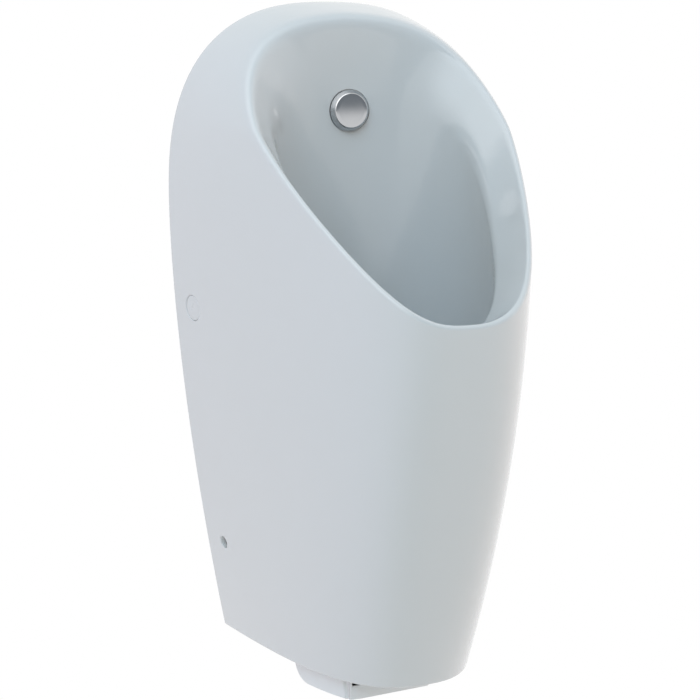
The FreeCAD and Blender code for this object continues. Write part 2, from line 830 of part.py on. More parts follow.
def ring(name, outer, inner, length, place, along="Z"):
    """Plain ring, such as a washer or a seal."""
    return cut(name, rod(outer, length, place, along), [rod(inner, length, place, along)])


NOZZLE = ("0", "-nozzle_spot_depth", "nozzle_height")
LOCK_FACE = "nozzle_back_depth - nozzle_washer_height - nozzle_nut_height"
ELBOW_FACE = LOCK_FACE + " - running_gap"


def nozzle():
    """Chromed cap on a threaded stem that passes through the back wall of the basin."""
    shell = turned("Nozzle_shell", [
        ("nozzle_cap_radius - nozzle_cap_wall", "0"),
        ("nozzle_cap_radius", "0"),
        ("nozzle_cap_radius", "nozzle_cap_skirt"),
        ("nozzle_face_radius", "nozzle_cap_height"),
        ("0", "nozzle_cap_height"),
        ("0", "nozzle_cap_height - nozzle_cap_wall"),
        ("nozzle_face_radius - nozzle_cap_wall", "nozzle_cap_height - nozzle_cap_wall"),
        ("nozzle_cap_radius - nozzle_cap_wall", "nozzle_cap_skirt"),
    ], NOZZLE, "-Y")
    slot = block(("spray_slot_width", "nozzle_cap_skirt", "2 * nozzle_cap_wall"),
                 ("-spray_slot_width / 2", "-nozzle_spot_depth - nozzle_cap_skirt",
                  "nozzle_height - nozzle_cap_radius - nozzle_cap_wall / 2"))
    node(cut("spray_nozzle_cap", shell, [slot]))
    end = "-(nozzle_spot_depth - (" + ELBOW_FACE + ") + elbow_grip)"
    stem = turned("Nozzle_stem", [
        ("stem_bore_radius", end),
        ("stem_radius", end),
        ("stem_radius", "gasket_height"),
        ("stem_flange_radius", "gasket_height"),
        ("stem_flange_radius", "gasket_height + stem_flange_height"),
        ("spigot_radius", "gasket_height + stem_flange_height"),
        ("spigot_radius", "nozzle_cap_height - nozzle_cap_wall"),
        ("stem_bore_radius", "nozzle_cap_height - nozzle_cap_wall"),
    ], NOZZLE, "-Y")
    front = "-nozzle_spot_depth - nozzle_cap_height + nozzle_cap_wall"
    depth = "nozzle_cap_height - nozzle_cap_wall - gasket_height - stem_flange_height"
    channel = block(("stem_bore_radius", depth, "spigot_radius + 1"),
                    ("-stem_bore_radius / 2", front, "nozzle_height - spigot_radius - 1"))
    node(cut("spray_nozzle_body", stem, [channel]))
    node(ring("nozzle_gasket", "stem_flange_radius", "stem_radius + slip_gap", "gasket_height",
              NOZZLE, "-Y"))
    back = ("0", "-nozzle_back_depth", "nozzle_height")
    node(ring("nozzle_washer", "nozzle_washer_radius", "stem_radius + running_gap",
              "nozzle_washer_height", back, "Y"))
    behind = ("0", "nozzle_washer_height - nozzle_back_depth", "nozzle_height")
    nut = hexagon("nozzle_nut_corner", "nozzle_nut_height", behind, "Y")
    bore = rod("stem_radius + slip_gap", "nozzle_nut_height", behind, "Y")
    node(cut("nozzle_lock_nut", nut, [bore]))


def elbow():
    """Right-angled piece on the stem with a barbed tail pointing down."""
    start = ("0", "-(" + ELBOW_FACE + ")", "nozzle_height")
    body = rod("elbow_radius", "elbow_length", start, "Y")
    axis = ("0", "-tail_depth", "nozzle_height")
    tail = rod("tail_radius", "tail_drop", axis, "-Z")
    socket = rod("stem_radius + slip_gap", "elbow_grip", start, "Y")
    bore = rod("stem_bore_radius", "elbow_length - elbow_wall", start, "Y")
    drop = rod("tail_bore_radius", "tail_drop", axis, "-Z")
    node(cut("nozzle_elbow", joined("Blank", [body, tail]), [socket, bore, drop]))


# ---------------------------------------------------------------- routes of the hose and the leads

ARC_REACH = 0.45


def rounded_path(points):
    """Straight runs joined by tangent arcs, each as large as its two runs allow."""
    edges, start = [], points[0]
    for before, corner, after in zip(points, points[1:], points[2:]):
        back, ahead = (before - corner), (after - corner)
        short = min(back.Length, ahead.Length)
        back.normalize()
        ahead.normalize()
        turn = math.pi - back.getAngle(ahead)
        reach = ARC_REACH * short
        radius = reach / math.tan(turn / 2)
        entry, leave = corner + back * reach, corner + ahead * reach
        centre = corner + (back + ahead).normalize() * (radius / math.cos(turn / 2))
        middle = centre + (corner - centre).normalize() * radius
        edges.append(Part.LineSegment(start, entry).toShape())
        edges.append(Part.Arc(entry, middle, leave).toShape())
        start = leave
        print("bend radius %.0f mm" % radius)
    edges.append(Part.LineSegment(start, points[-1]).toShape())
    return Part.Wire(edges)


def tube(points, radius):
    """Solid round tube along a route."""
    path = rounded_path(points)
    section = Part.Wire([Part.makeCircle(radius, points[0], points[1] - points[0])])
    solid = path.makePipeShell([section], True, True)
    share = solid.Volume / (math.pi * radius ** 2 * path.Length)
    print("tube %.0f mm long, volume share %.4f" % (path.Length, share))
    return solid


def hose():
    """Hose from the tail of the elbow in a flat S down to the outlet of the solenoid valve."""
    top = dim("nozzle_height") - dim("elbow_radius") - dim("hose_end_gap")
    across, depth = dim("inlet_across"), dim("inlet_depth")
    bottom = dim("valve_top") + dim("hose_end_gap")
    upper, lower = top - (top - bottom) / 3, top - 2 * (top - bottom) / 3
    route = [Vector(0, -dim("tail_depth"), top), Vector(0, -dim("tail_depth"), upper),
             Vector(across, -depth, lower), Vector(across, -depth, bottom)]
    outer, bore = tube(route, dim("hose_radius")), tube(route, dim("tail_radius") + dim("slip_gap"))
    node(shaped("flush_hose", outer.cut(bore)))
    clamps = []
    for x, y, z in (("0", "-tail_depth", "nozzle_height - elbow_radius - 3 * clamp_width / 2"),
                    ("inlet_across", "-inlet_depth", "valve_top + clamp_width / 2")):
        band = "hose_radius + slip_gap + clamp_band"
        body = rod(band, "clamp_width", (x, y, z))
        lock = block(("clamp_width", "clamp_width", "clamp_width"),
                     (x + " - clamp_width / 2", y + " - clamp_width - hose_radius", z))
        hole = rod("hose_radius + slip_gap", "clamp_width", (x, y, z))
        clamps.append(cut("Clamp", joined("Blank", [body, lock]), [hole]))
    node(group("hose_clamps", clamps))


# ---------------------------------------------------------------- water inlet and solenoid valve

def at_inlet(height, depth="inlet_depth"):
    return ("inlet_across", "-(" + depth + ")", height)


THREAD_TOP = "inlet_height + inlet_body_height / 2 + inlet_top_thread"
TAIL_BASE = THREAD_TOP + " + union_seal_height"
derive("valve_base", dim("inlet_height") + dim("inlet_body_height") / 2 + dim("inlet_top_thread")
       + dim("union_seal_height") + dim("valve_tail_height"))
derive("valve_axis", dim("valve_base") + dim("valve_body_height") / 2)
derive("valve_top", dim("valve_base") + dim("valve_body_height"))
derive("bonnet_depth", dim("inlet_depth") + dim("chamber_length"))
derive("plunger_depth", dim("bonnet_depth") - dim("chamber_bore_length") + dim("diaphragm_height")
       + 2 * dim("running_gap"))


def isolating_valve():
    """Angle valve: inlet from the wall, outlet upwards, slotted spindle in front."""
    parts = [
        rod("inlet_thread_radius", "inlet_thread_length",
            at_inlet("inlet_height", "inlet_thread_length"), "Y"),
        rod("inlet_neck_radius", "inlet_depth - inlet_thread_length", at_inlet("inlet_height"), "Y"),
        rod("inlet_body_radius", "inlet_body_height", at_inlet("inlet_height - inlet_body_height / 2")),
        rod("inlet_thread_radius", "inlet_top_thread", at_inlet("inlet_height + inlet_body_height / 2")),
        rod("spindle_port_radius", "spindle_port_depth - inlet_depth", at_inlet("inlet_height"), "-Y"),
    ]
    rise = "inlet_body_height / 2 + inlet_top_thread"
    bores = [
        rod("inlet_bore_radius", "inlet_depth", at_inlet("inlet_height"), "Y"),
        rod("inlet_bore_radius", rise, at_inlet("inlet_height")),
        rod("spindle_radius + slip_gap", "spindle_port_depth - inlet_depth", at_inlet("inlet_height"), "-Y"),
    ]
    node(cut("isolating_valve_body", joined("Blank", parts), bores))
    tip = "inlet_depth + inlet_bore_radius + spindle_tip_gap"
    face = "spindle_port_depth + running_gap"
    shank = rod("spindle_radius", face + " - (" + tip + ")", at_inlet("inlet_height", tip), "-Y")
    head = rod("spindle_head_radius", "spindle_head_height", at_inlet("inlet_height", face), "-Y")
    slot = block(("2 * spindle_head_radius", "spindle_head_height / 2", "spindle_slot"),
                 ("inlet_across - spindle_head_radius", "-(" + face + ") - spindle_head_height",
                  "inlet_height - spindle_slot / 2"))
    node(cut("isolating_spindle", joined("Blank", [shank, head]), [slot]))


def union():
    """Nut, seal and filter between the angle valve and the solenoid valve."""
    base = THREAD_TOP + " - union_grip"
    body = hexagon("union_corner", "union_height", at_inlet(base))
    step = "union_grip + union_seal_height + union_flange_height"
    wide = rod("inlet_thread_radius + slip_gap", step, at_inlet(base))
    narrow = rod("valve_tail_radius + slip_gap", "union_height", at_inlet(base))
    node(cut("union_nut", body, [wide, narrow]))
    node(ring("union_seal", "union_flange_radius", "inlet_bore_radius", "union_seal_height",
              at_inlet(THREAD_TOP)))
    cup = rod("filter_radius", "filter_height", at_inlet(TAIL_BASE))
    room = rod("filter_radius - 1", "filter_height - 1", at_inlet(TAIL_BASE))
    node(cut("inlet_filter", cup, [room]))


def solenoid_valve():
    """Valve body, diaphragm, bonnet with guide tube, plunger, spring and coil."""
    outlet = "valve_outlet_length"
    chamber = "bonnet_depth - inlet_depth"
    seat = chamber + " - chamber_bore_length"
    parts = [
        rod("union_flange_radius", "union_flange_height", at_inlet(TAIL_BASE)),
        rod("valve_tail_radius", "valve_tail_height", at_inlet(TAIL_BASE)),
        rod("valve_body_radius", "valve_body_height", at_inlet("valve_base")),
        rod("chamber_radius", chamber, at_inlet("valve_axis"), "-Y"),
        rod("tail_radius", outlet, at_inlet("valve_top")),
    ]
    filter_room = "valve_tail_height + valve_body_height / 2 - tail_bore_radius * 2"
    bores = [
        rod("filter_radius + slip_gap", filter_room, at_inlet(TAIL_BASE)),
        rod("tail_bore_radius", "valve_body_height / 2 + " + outlet, at_inlet("valve_axis")),
        rod("tail_bore_radius", seat, at_inlet("valve_axis"), "-Y"),
        rod("chamber_bore_radius", "chamber_bore_length",
            at_inlet("valve_axis", "bonnet_depth - chamber_bore_length"), "-Y"),
        rod("pilot_radius", seat, at_inlet("valve_axis - pilot_drop"), "-Y"),
    ] + bonnet_screw_bores("bonnet_screw_radius + slip_gap")
    node(cut("solenoid_valve_body", joined("Blank", parts), bores))
    node(rod("diaphragm_radius", "diaphragm_height",
             at_inlet("valve_axis", "bonnet_depth - chamber_bore_length + running_gap"), "-Y"),
         "valve_diaphragm")
    guide = "plunger_radius + slip_gap + guide_wall"
    core = "plunger_depth + plunger_length + spring_length + 2 * running_gap - bonnet_depth"
    bonnet = [
        rod("chamber_radius", "bonnet_height", at_inlet("valve_axis", "bonnet_depth"), "-Y"),
        rod(guide, "bonnet_height + guide_length", at_inlet("valve_axis", "bonnet_depth"), "-Y"),
    ]
    room = rod("plunger_radius + slip_gap", core, at_inlet("valve_axis", "bonnet_depth"), "-Y")
    node(cut("solenoid_guide_tube", joined("Blank", bonnet),
             [room] + bonnet_screw_bores("bonnet_screw_radius + slip_gap")))
    node(rod("plunger_radius", "plunger_length", at_inlet("valve_axis", "plunger_depth"), "-Y"),
         "solenoid_plunger")
    node(ring("plunger_spring", "plunger_radius - running_gap",
              "plunger_radius - running_gap - spring_wall", "spring_length",
              at_inlet("valve_axis", "plunger_depth + plunger_length + running_gap"), "-Y"))
    base = "bonnet_depth + bonnet_height + coil_stand_off"
    middle = "valve_axis - coil_side / 2"
    body = block(("coil_side", "coil_length", "coil_side"),
                 ("inlet_across - coil_side / 2", "-(" + base + ") - coil_length", middle))
    plug = block(("coil_plug_length", "coil_plug_side", "coil_plug_side"),
                 ("inlet_across - coil_side / 2 - coil_plug_length",
                  "-(" + base + ") - coil_length / 2 - coil_plug_side / 2",
                  "valve_axis - coil_plug_side / 2"))
    hole = rod(guide + " + slip_gap", "coil_length", at_inlet("valve_axis", base), "-Y")
    node(cut("solenoid_coil", joined("Blank", [body, plug]), [hole]))
    node(ring("coil_retainer", "retainer_radius", guide + " + slip_gap / 2", "retainer_height",
              at_inlet("valve_axis", base + " + coil_length"), "-Y"))
    bonnet_screws()


def bonnet_screw_places(depth):
    """Places of the four bonnet screws on the diagonals of the chamber."""
    diagonal = "bonnet_screw_circle / sqrt(2)"
    return [("inlet_across " + x + " " + diagonal, "-(" + depth + ")", "valve_axis " + z + " " + diagonal)
            for x in "+-" for z in "+-"]


def bonnet_screw_bores(radius):
    start = "bonnet_depth + bonnet_height - bonnet_screw_length"
    return [rod(radius, "bonnet_screw_length", place, "-Y") for place in bonnet_screw_places(start)]


def bonnet_screws():
    shanks = bonnet_screw_bores("bonnet_screw_radius")
    heads = [rod("bonnet_screw_head", "bonnet_screw_head_height", place, "-Y")
             for place in bonnet_screw_places("bonnet_depth + bonnet_height")]
    node(group("bonnet_screws", [joined("Screw", list(pair)) for pair in zip(shanks, heads)]))


# ---------------------------------------------------------------- drain, trap and outlet

def at_drain(height):
    return ("0", "-drain_depth", height)


SEAT = "floor_height - seat_sink"
NUT_TOP = "floor_height - bowl_wall - drain_seal_height"
POT_TOP = NUT_TOP + " - drain_nut_height"
SLEEVE_BORE = "sleeve_radius - sleeve_wall"
FLANGE = SEAT + " + sleeve_flange_height + running_gap"


def drain():
    """Waste sleeve through the floor, clamped by a nut with a seal."""
    node(turned("drain_sleeve", [
        (SLEEVE_BORE, SEAT + " - sleeve_length"),
        ("sleeve_radius", SEAT + " - sleeve_length"),
        ("sleeve_radius", SEAT),
        ("sleeve_flange_radius", SEAT),
        ("sleeve_flange_radius", SEAT + " + sleeve_flange_height"),
        (SLEEVE_BORE, SEAT + " + sleeve_flange_height"),
    ], at_drain("0")))
    node(ring("drain_seal", "drain_seal_radius", "sleeve_radius + slip_gap", "drain_seal_height",
              at_drain(NUT_TOP)))
    node(ring("drain_nut", "drain_nut_radius", "sleeve_radius + slip_gap", "drain_nut_height",
              at_drain(POT_TOP)))


def outlet_place(depth):
    return ("0", "-(" + depth + ")", "outlet_height")


def trap():
    """Pot of the trap with its port to the wall, seals and outlet pipe."""
    mouth = POT_TOP + " - trap_mouth_height"
    ledge = mouth + " - trap_ledge"
    pot = rod("trap_radius", POT_TOP + " - trap_bottom", at_drain("trap_bottom"))
    port = rod("outlet_socket_radius", "drain_depth - outlet_socket_depth", outlet_place("drain_depth"), "Y")
    room = "trap_radius - trap_wall"
    base = "trap_bottom + trap_floor"
    seal = "outlet_seal_length + slip_gap"
    tools = [
        rod(room, ledge + " - (" + base + ")", at_drain(base)),
        rod("trap_ledge_radius", "trap_ledge", at_drain(ledge)),
        rod(room, "trap_mouth_height", at_drain(mouth)),
        rod("outlet_radius - outlet_wall", "drain_depth - outlet_socket_depth",
            outlet_place("drain_depth"), "Y"),
        rod("outlet_radius + slip_gap", "outlet_socket_length",
            outlet_place("outlet_socket_depth + outlet_socket_length"), "Y"),
        rod("outlet_radius + outlet_seal_wall", seal, outlet_place("outlet_socket_depth + " + seal), "Y"),
        rod("holder_screw_radius + slip_gap", "holder_screw_length - holder_height + running_gap",
            at_drain("trap_bottom")),
    ]
    node(cut("trap_housing", joined("Blank", [pot, port]), tools))
    node(ring("trap_seal", room + " - slip_gap", "sleeve_radius + slip_gap",
              "trap_seal_height", at_drain(mouth)))
    pipe = "outlet_socket_depth + outlet_socket_length - running_gap"
    bead = rod("outlet_radius + outlet_bead", "2 * outlet_bead",
               outlet_place("outlet_free_length + 2 * outlet_bead"), "Y")
    body = joined("Blank", [rod("outlet_radius", pipe, outlet_place(pipe), "Y"), bead])
    node(cut("outlet_pipe", body, [rod("outlet_radius - outlet_wall", pipe, outlet_place(pipe), "Y")]))
    node(ring("outlet_seal", "outlet_radius + outlet_seal_wall - slip_gap", "outlet_radius + slip_gap",
              "outlet_seal_length", outlet_place("outlet_socket_depth + outlet_seal_length"), "Y"))


def cartridge():
    """Lift-out insert: a cup with a standpipe, hung by its flange in the sleeve."""
    outside = SLEEVE_BORE + " - running_gap"
    inside = outside + " - cartridge_wall"
    groove = outside + " - ring_groove"
    top = FLANGE + " + cartridge_flange_height"
    floor = "cartridge_bottom + cartridge_wall"
    low = FLANGE + " - ring_drop"
    node(turned("trap_cartridge", [
        ("standpipe_radius - cartridge_wall", "cartridge_bottom"),
        (outside, "cartridge_bottom"),
        (outside, low),
        (groove, low),
        (groove, low + " + ring_height + slip_gap"),
        (outside, low + " + ring_height + slip_gap"),
        (outside, FLANGE),
        ("cartridge_flange_radius", FLANGE),
        ("cartridge_flange_radius", top),
        (inside, top),
        (inside, floor),
        ("standpipe_radius", floor),
        ("standpipe_radius", "cartridge_bottom + standpipe_height"),
        ("standpipe_radius - cartridge_wall", "cartridge_bottom + standpipe_height"),
    ], at_drain("0")))
    node(ring("cartridge_seal", SLEEVE_BORE + " - ring_clearance", groove, "ring_height", at_drain(low)))


def strainer():
    """Slotted cover that drops into the cartridge, with the bell over the standpipe."""
    base = FLANGE + " + cartridge_flange_height + running_gap"
    collar = SLEEVE_BORE + " - cartridge_wall - 2 * running_gap"
    disc = rod("strainer_radius", "strainer_height", at_drain(base))
    skirt = ring("Collar", collar, collar + " - strainer_collar_wall", "strainer_collar_height",
                 at_drain(base + " - strainer_collar_height"))
    slots = []
    count = int(dim("strainer_slot_count"))
    for i in range(count):
        slot = Part.makeBox(dim("strainer_slot_length"), dim("strainer_slot_width"), 2 * RUN_OUT,
                            Vector(dim("bell_radius") + 1, -dim("strainer_slot_width") / 2, -RUN_OUT))
        slot.rotate(Vector(), Vector(0, 0, 1), 360 * i / count)
        slot.translate(Vector(0, -dim("drain_depth"), dim("floor_height")))
        slots.append(slot)
    node(cut("strainer_cover", joined("Blank", [disc, skirt]), [shaped("Slots", Part.makeCompound(slots))]))
    node(turned("trap_bell", [
        ("0", base + " - bell_wall"),
        ("bell_radius - bell_wall", base + " - bell_wall"),
        ("bell_radius - bell_wall", "bell_bottom"),
        ("bell_radius", "bell_bottom"),
        ("bell_radius", base),
        ("0", base),
    ], at_drain("0")))


# ---------------------------------------------------------------- service cover below the ceramic

def cover_profile(grow):
    """Side view of the tray behind its front: flat bottom, the rear end a quarter ellipse."""
    top, low = dim("cover_plate_level"), -dim("cover_drop") - grow
    front, round_start = -dim("belly_depth"), -dim("cover_round_depth")
    back = -dim("cover_back_depth") + grow
    ellipse = Part.BezierCurve()
    ellipse.setPoles([
        Vector(0, round_start, low),
        Vector(0, round_start + CIRCLE_PULL * (back - round_start), low),
        Vector(0, back, CIRCLE_PULL * low),
        Vector(0, back, 0),
    ])
    corners = [Vector(0, back, 0), Vector(0, back, top), Vector(0, front, top), Vector(0, front, low),
               Vector(0, round_start, low)]
    edges = [Part.makeLine(a, b) for a, b in zip(corners, corners[1:])]
    face = Part.Face(Part.Wire([ellipse.toShape()] + edges))
    return face.extrude(Vector(2 * dim("half_width"), 0, 0)).translated(Vector(-dim("half_width"), 0, 0))


def plan_prism(inset, bottom, top):
    """Prism over the plan outline of the ceramic's lower edge, drawn in by the inset."""
    face = Part.Face(section_wire(0.0, inset))
    face.translate(Vector(0, 0, bottom))
    return face.extrude(Vector(0, 0, top - bottom))


def cover_front(grow):
    """Prism behind the front of the tray, which turns back to the right of its slot."""
    reach, front = dim("half_width"), -dim("cover_front_depth")
    across, turned_y = dim("cover_turn_across"), front + dim("cover_turn_set_back")
    corners = [Vector(-reach, front, 0), Vector(-dim("cover_slot_inner"), front, 0),
               Vector(across, turned_y, 0), Vector(reach, turned_y + reach - across, 0),
               Vector(reach, 0, 0), Vector(-reach, 0, 0)]
    face = Part.Face(Part.makePolygon(corners + corners[:1]))
    if grow:
        face = face.makeOffset2D(grow, 2)
    face.translate(Vector(0, 0, -RUN_OUT))
    return face.extrude(Vector(0, 0, 2 * RUN_OUT))


def corner_groove():
    """Tapered notch down the side of the tray, beside its left front corner."""
    inset, level = dim("cover_inset"), dim("cover_plate_level")
    depth, foot = dim("cover_front_depth"), -dim("cover_drop")
    wires = []
    for z, width in ((level, dim("cover_groove_width")), (foot, dim("cover_groove_foot"))):
        near = Vector(-half_width_at(depth, 0.0, inset), -depth, z)
        there = depth - dim("cover_groove_width")
        far = Vector(-half_width_at(there, 0.0, inset), -there, z)
        along = (far - near).normalize()
        outwards = Vector(along.y, -along.x, 0)
        if outwards.x > 0:
            outwards = -outwards
        middle = near + along * (dim("cover_groove_width") / 2)
        a, b = middle - along * (width / 2), middle + along * (width / 2)
        tip = middle - outwards * dim("cover_groove_sink")
        wires.append(Part.makePolygon([a + outwards, tip, b + outwards, a + outwards]))
    return Part.makeLoft(wires, True, True)


def service_cover():
    """Hollow tray with a closing plate inside the skirt and two arms for the holder."""
    wall, level = dim("cover_wall"), dim("cover_plate_level")
    inset, low = dim("cover_inset"), -dim("cover_drop") - wall
    outer = plan_prism(inset, low, level).common(cover_profile(0)).common(cover_front(0))
    outer = outer.cut(corner_groove())
    inner = plan_prism(inset + wall, low, level + wall).common(cover_profile(-wall))
    inner = inner.common(cover_front(-wall))
    rim = dim("skin_wall") + dim("cover_plate_gap")
    plate = plan_prism(rim, level, level + wall)
    corner = Vector(-RUN_OUT - dim("half_width"), -dim("cover_plate_wall_gap"), -RUN_OUT)
    plate = plate.cut(Part.makeBox(-2 * corner.x, RUN_OUT, 2 * RUN_OUT, corner))
    slot = dim("cover_slot_height")
    corner = Vector(-dim("cover_slot_inner") - dim("cover_slot_width"),
                    -dim("cover_front_depth") - wall, -dim("cover_slot_top") - slot)
    opening = Part.makeBox(dim("cover_slot_width"), 3 * wall, slot, corner)
    cover = plate.fuse(outer.cut(inner).cut(opening))
    height = dim("trap_bottom") - wall / 2 - level
    for side in (1, -1):
        corner = Vector(side * dim("cover_post_across") - dim("cover_post_width") / 2,
                        -dim("drain_depth") - dim("cover_post_sheet") / 2, level)
        cover = cover.fuse(Part.makeBox(dim("cover_post_width"), dim("cover_post_sheet"), height, corner))
    return cover.removeSplitter().Solids[0]


def cover_holder():
    """Bar screwed under the trap; the arms of the cover push into its two slots."""
    base = "trap_bottom - holder_height"
    bar = block(("holder_width", "holder_depth", "holder_height"),
                ("-holder_width / 2", "-drain_depth - holder_depth / 2", base))
    gap = "2 * running_gap"
    tools = [block(("cover_post_width + " + gap, "cover_post_sheet + " + gap, "holder_height"),
                   (sign + "cover_post_across - cover_post_width / 2 - running_gap",
                    "-drain_depth - cover_post_sheet / 2 - running_gap", base)) for sign in ("", "-")]
    tools.append(rod("holder_screw_radius + slip_gap", "holder_height", at_drain(base)))
    node(cut("cover_holder", bar, tools))
    node(joined("cover_holder_screw", [
        rod("holder_screw_radius", "holder_screw_length", at_drain(base)),
        rod("holder_screw_head", "holder_head_height", at_drain(base + " - holder_head_height")),
    ]))


# ---------------------------------------------------------------- electronics

def in_box(x, depth, z):
    """A place in the control box: from its left side, from the frame and from its bottom."""
    return ("-box_left + " + x, "-steel_sheet - (" + depth + ")", "box_bottom + " + z)


def box_corners(inset):
    return [(x, z) for x in (inset, "box_width - " + inset) for z in (inset, "box_height - " + inset)]


def control_box():
    """Housing on the base frame with lid, circuit board, battery and cable entries."""
    shell = block(("box_width", "box_depth", "box_height"), in_box("0", "box_depth", "0"))
    room = block(("box_width - 2 * box_wall", "box_depth", "box_height - 2 * box_wall"),
                 in_box("box_wall", "box_depth + box_wall", "box_wall"))
    posts = [rod("lid_post_radius", "box_depth - box_wall", in_box(x, "box_wall", z), "-Y")
             for x, z in box_corners("lid_post_inset")]
    pegs = []
    for x, z in BOARD_PEGS:
        pegs.append(rod("1.8 * peg_radius", "board_stand_off", in_box(x, "box_wall", z), "-Y"))
        pegs.append(rod("peg_radius", "board_stand_off + 2 * board_sheet", in_box(x, "box_wall", z), "-Y"))
    depth = "box_depth - lid_screw_length + lid_sheet"
    bores = [rod("lid_screw_radius + slip_gap", "lid_screw_length", in_box(x, depth, z), "-Y")
             for x, z in box_corners("lid_post_inset")]
    bores += [rod("box_screw_radius + slip_gap", "box_wall",
                  ("box_width / 2 - box_left", "-steel_sheet", z), "-Y")
              for z in BOX_SCREW_HEIGHTS]
    bores += [rod("gland_radius + slip_gap", "box_wall",
                  in_box(x, "gland_depth - steel_sheet", "box_height - box_wall"))
              for x in GLANDS]
    hollow = cut("Hollow_box", shell, [room])
    node(cut("control_box", joined("Blank", [hollow] + posts + pegs), bores))
    lid = block(("box_width", "lid_sheet", "box_height"), in_box("0", "box_depth + lid_sheet", "0"))
    holes = [rod("lid_screw_radius + slip_gap", "lid_sheet", in_box(x, "box_depth", z), "-Y")
             for x, z in box_corners("lid_post_inset")]
    node(cut("control_box_lid", lid, holes))
    node(group("lid_screws", [joined("Screw", [
        rod("lid_screw_radius", "lid_screw_length", in_box(x, depth, z), "-Y"),
        rod("lid_screw_head", "lid_screw_head_height", in_box(x, "box_depth + lid_sheet", z), "-Y"),
    ]) for x, z in box_corners("lid_post_inset")]))
    node(group("box_screws", [joined("Screw", [
        rod("box_screw_radius", "box_wall + steel_sheet - running_gap",
            ("box_width / 2 - box_left", "-running_gap", z), "-Y"),
        rod("box_screw_head", "box_screw_head_height",
            ("box_width / 2 - box_left", "-steel_sheet - box_wall", z), "-Y"),
    ]) for z in BOX_SCREW_HEIGHTS]))
    node(group("cable_glands", [joined("Gland", [
        rod("gland_radius", "box_wall + gland_length",
            in_box(x, "gland_depth - steel_sheet", "box_height - box_wall")),
        rod("gland_flange_radius", "gland_flange_height",
            in_box(x, "gland_depth - steel_sheet", "box_height")),
    ]) for x in GLANDS]))


def electronics():
    board = block(("board_width", "board_sheet", "board_height"),
                  in_box("(box_width - board_width) / 2", "box_wall + board_stand_off + board_sheet",
                         "(box_height - board_height) / 2"))
    holes = [rod("peg_radius + slip_gap", "board_sheet", in_box(x, "box_wall + board_stand_off", z), "-Y")
             for x, z in BOARD_PEGS]
    node(cut("control_board", board, holes))
    front = "box_wall + board_stand_off + board_sheet + battery_gap + battery_depth"
    node(block(("battery_width", "battery_depth", "battery_height"),
               in_box("(box_width - battery_width) / 2", front, "box_wall")), "battery_pack")
    left = "-sensor_across - sensor_width / 2"
    node(block(("sensor_width", "sensor_pad_sheet", "sensor_height"),
               (left, "-sensor_seat_depth", "sensor_bottom")), "sensor_pad")
    node(block(("sensor_width", "sensor_sheet", "sensor_height"),
               (left, "-sensor_seat_depth + sensor_pad_sheet", "sensor_bottom")), "sensor_module")


BOX_SCREW_HEIGHTS = ("box_bottom + box_screw_inset", "box_bottom + box_height - box_screw_inset")
GLANDS = ("box_width / 2 - gland_spacing / 2", "box_width / 2 + gland_spacing / 2")
BOARD_PEGS = [(x, z) for x in ("box_width / 2 - board_width / 2 + board_inset",
                               "box_width / 2 + board_width / 2 - board_inset")
              for z in ("box_height / 2 - board_height / 2 + board_inset",
                        "box_height / 2 + board_height / 2 - board_inset")]


def leads():
    """Leads of the sensor and of the coil, each down into its cable entry."""
    middle = -dim("box_left") + dim("box_width") / 2
    top = dim("box_bottom") + dim("box_height") + dim("gland_length")
    depth, radius = -dim("gland_depth"), dim("cable_radius")
    first, second = middle - dim("gland_spacing") / 2, middle + dim("gland_spacing") / 2
    start_x, start_z = -dim("sensor_across"), dim("sensor_bottom")
    start_y = -dim("sensor_seat_depth") + dim("sensor_pad_sheet") + dim("sensor_sheet") / 2
    sensor = [Vector(start_x, start_y, start_z), Vector(start_x, start_y, start_z - 55),
              Vector(start_x - 9, start_y + 2, start_z - 111),
              Vector(start_x - 23, start_y + 5, start_z - 166),
              Vector(first + 8, depth - 4, top + 88), Vector(first, depth, top + 40),
              Vector(first, depth, top)]
    node(shaped("sensor_cable", tube(sensor, radius)))
    coil_y = -dim("bonnet_depth") - dim("bonnet_height") - dim("coil_stand_off") - dim("coil_length") / 2
    x = dim("inlet_across") - dim("coil_side") / 2 - dim("coil_plug_length")
    z = dim("valve_axis")
    valve = [Vector(x, coil_y, z), Vector(x - 14, coil_y, z), Vector(x - 30, coil_y + 4, z + 10),
             Vector(x - 51, coil_y + 9, z + 19), Vector(x - 74, coil_y + 18, z + 22),
             Vector(second + 8, depth - 8, top + 25), Vector(second, depth, top + 11),
             Vector(second, depth, top)]
    node(shaped("valve_cable", tube(valve, radius)))


# ---------------------------------------------------------------- the whole urinal

node(shaped("ceramic_body", ceramic()))
side_fixings()
brackets()
nozzle()
elbow()
hose()
isolating_valve()
union()
solenoid_valve()
drain()
trap()
cartridge()
strainer()
node(shaped("service_cover", service_cover()))
cover_holder()
control_box()
electronics()
leads()
doc.recompute()

for obj in doc.Objects:
    if "Invalid" in obj.State or "Error" in obj.State:
        raise RuntimeError("failed object " + obj.Label)
os.makedirs("parts", exist_ok=True)
for obj in nodes:
    if obj.Shape.isNull() or not obj.Shape.isValid() or not obj.Shape.Solids:
        raise RuntimeError("bad shape " + obj.Label)
for obj in nodes:
    obj.Shape.exportStep("parts/" + obj.Label + ".step")
    print("%-22s %d solid(s) %9.0f mm3" % (obj.Label, len(obj.Shape.Solids), obj.Shape.Volume))
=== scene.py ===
"""Wall hung urinal of glazed ceramic, with its nozzle, caps, tray and the fittings behind it.

Shapes are worked out in millimetres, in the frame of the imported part: the wall is y = 0, the ceramic
stands out of it to -y and its lower edge is z = 0. A mesh is turned into metres when it is made.
"""

import json
import math

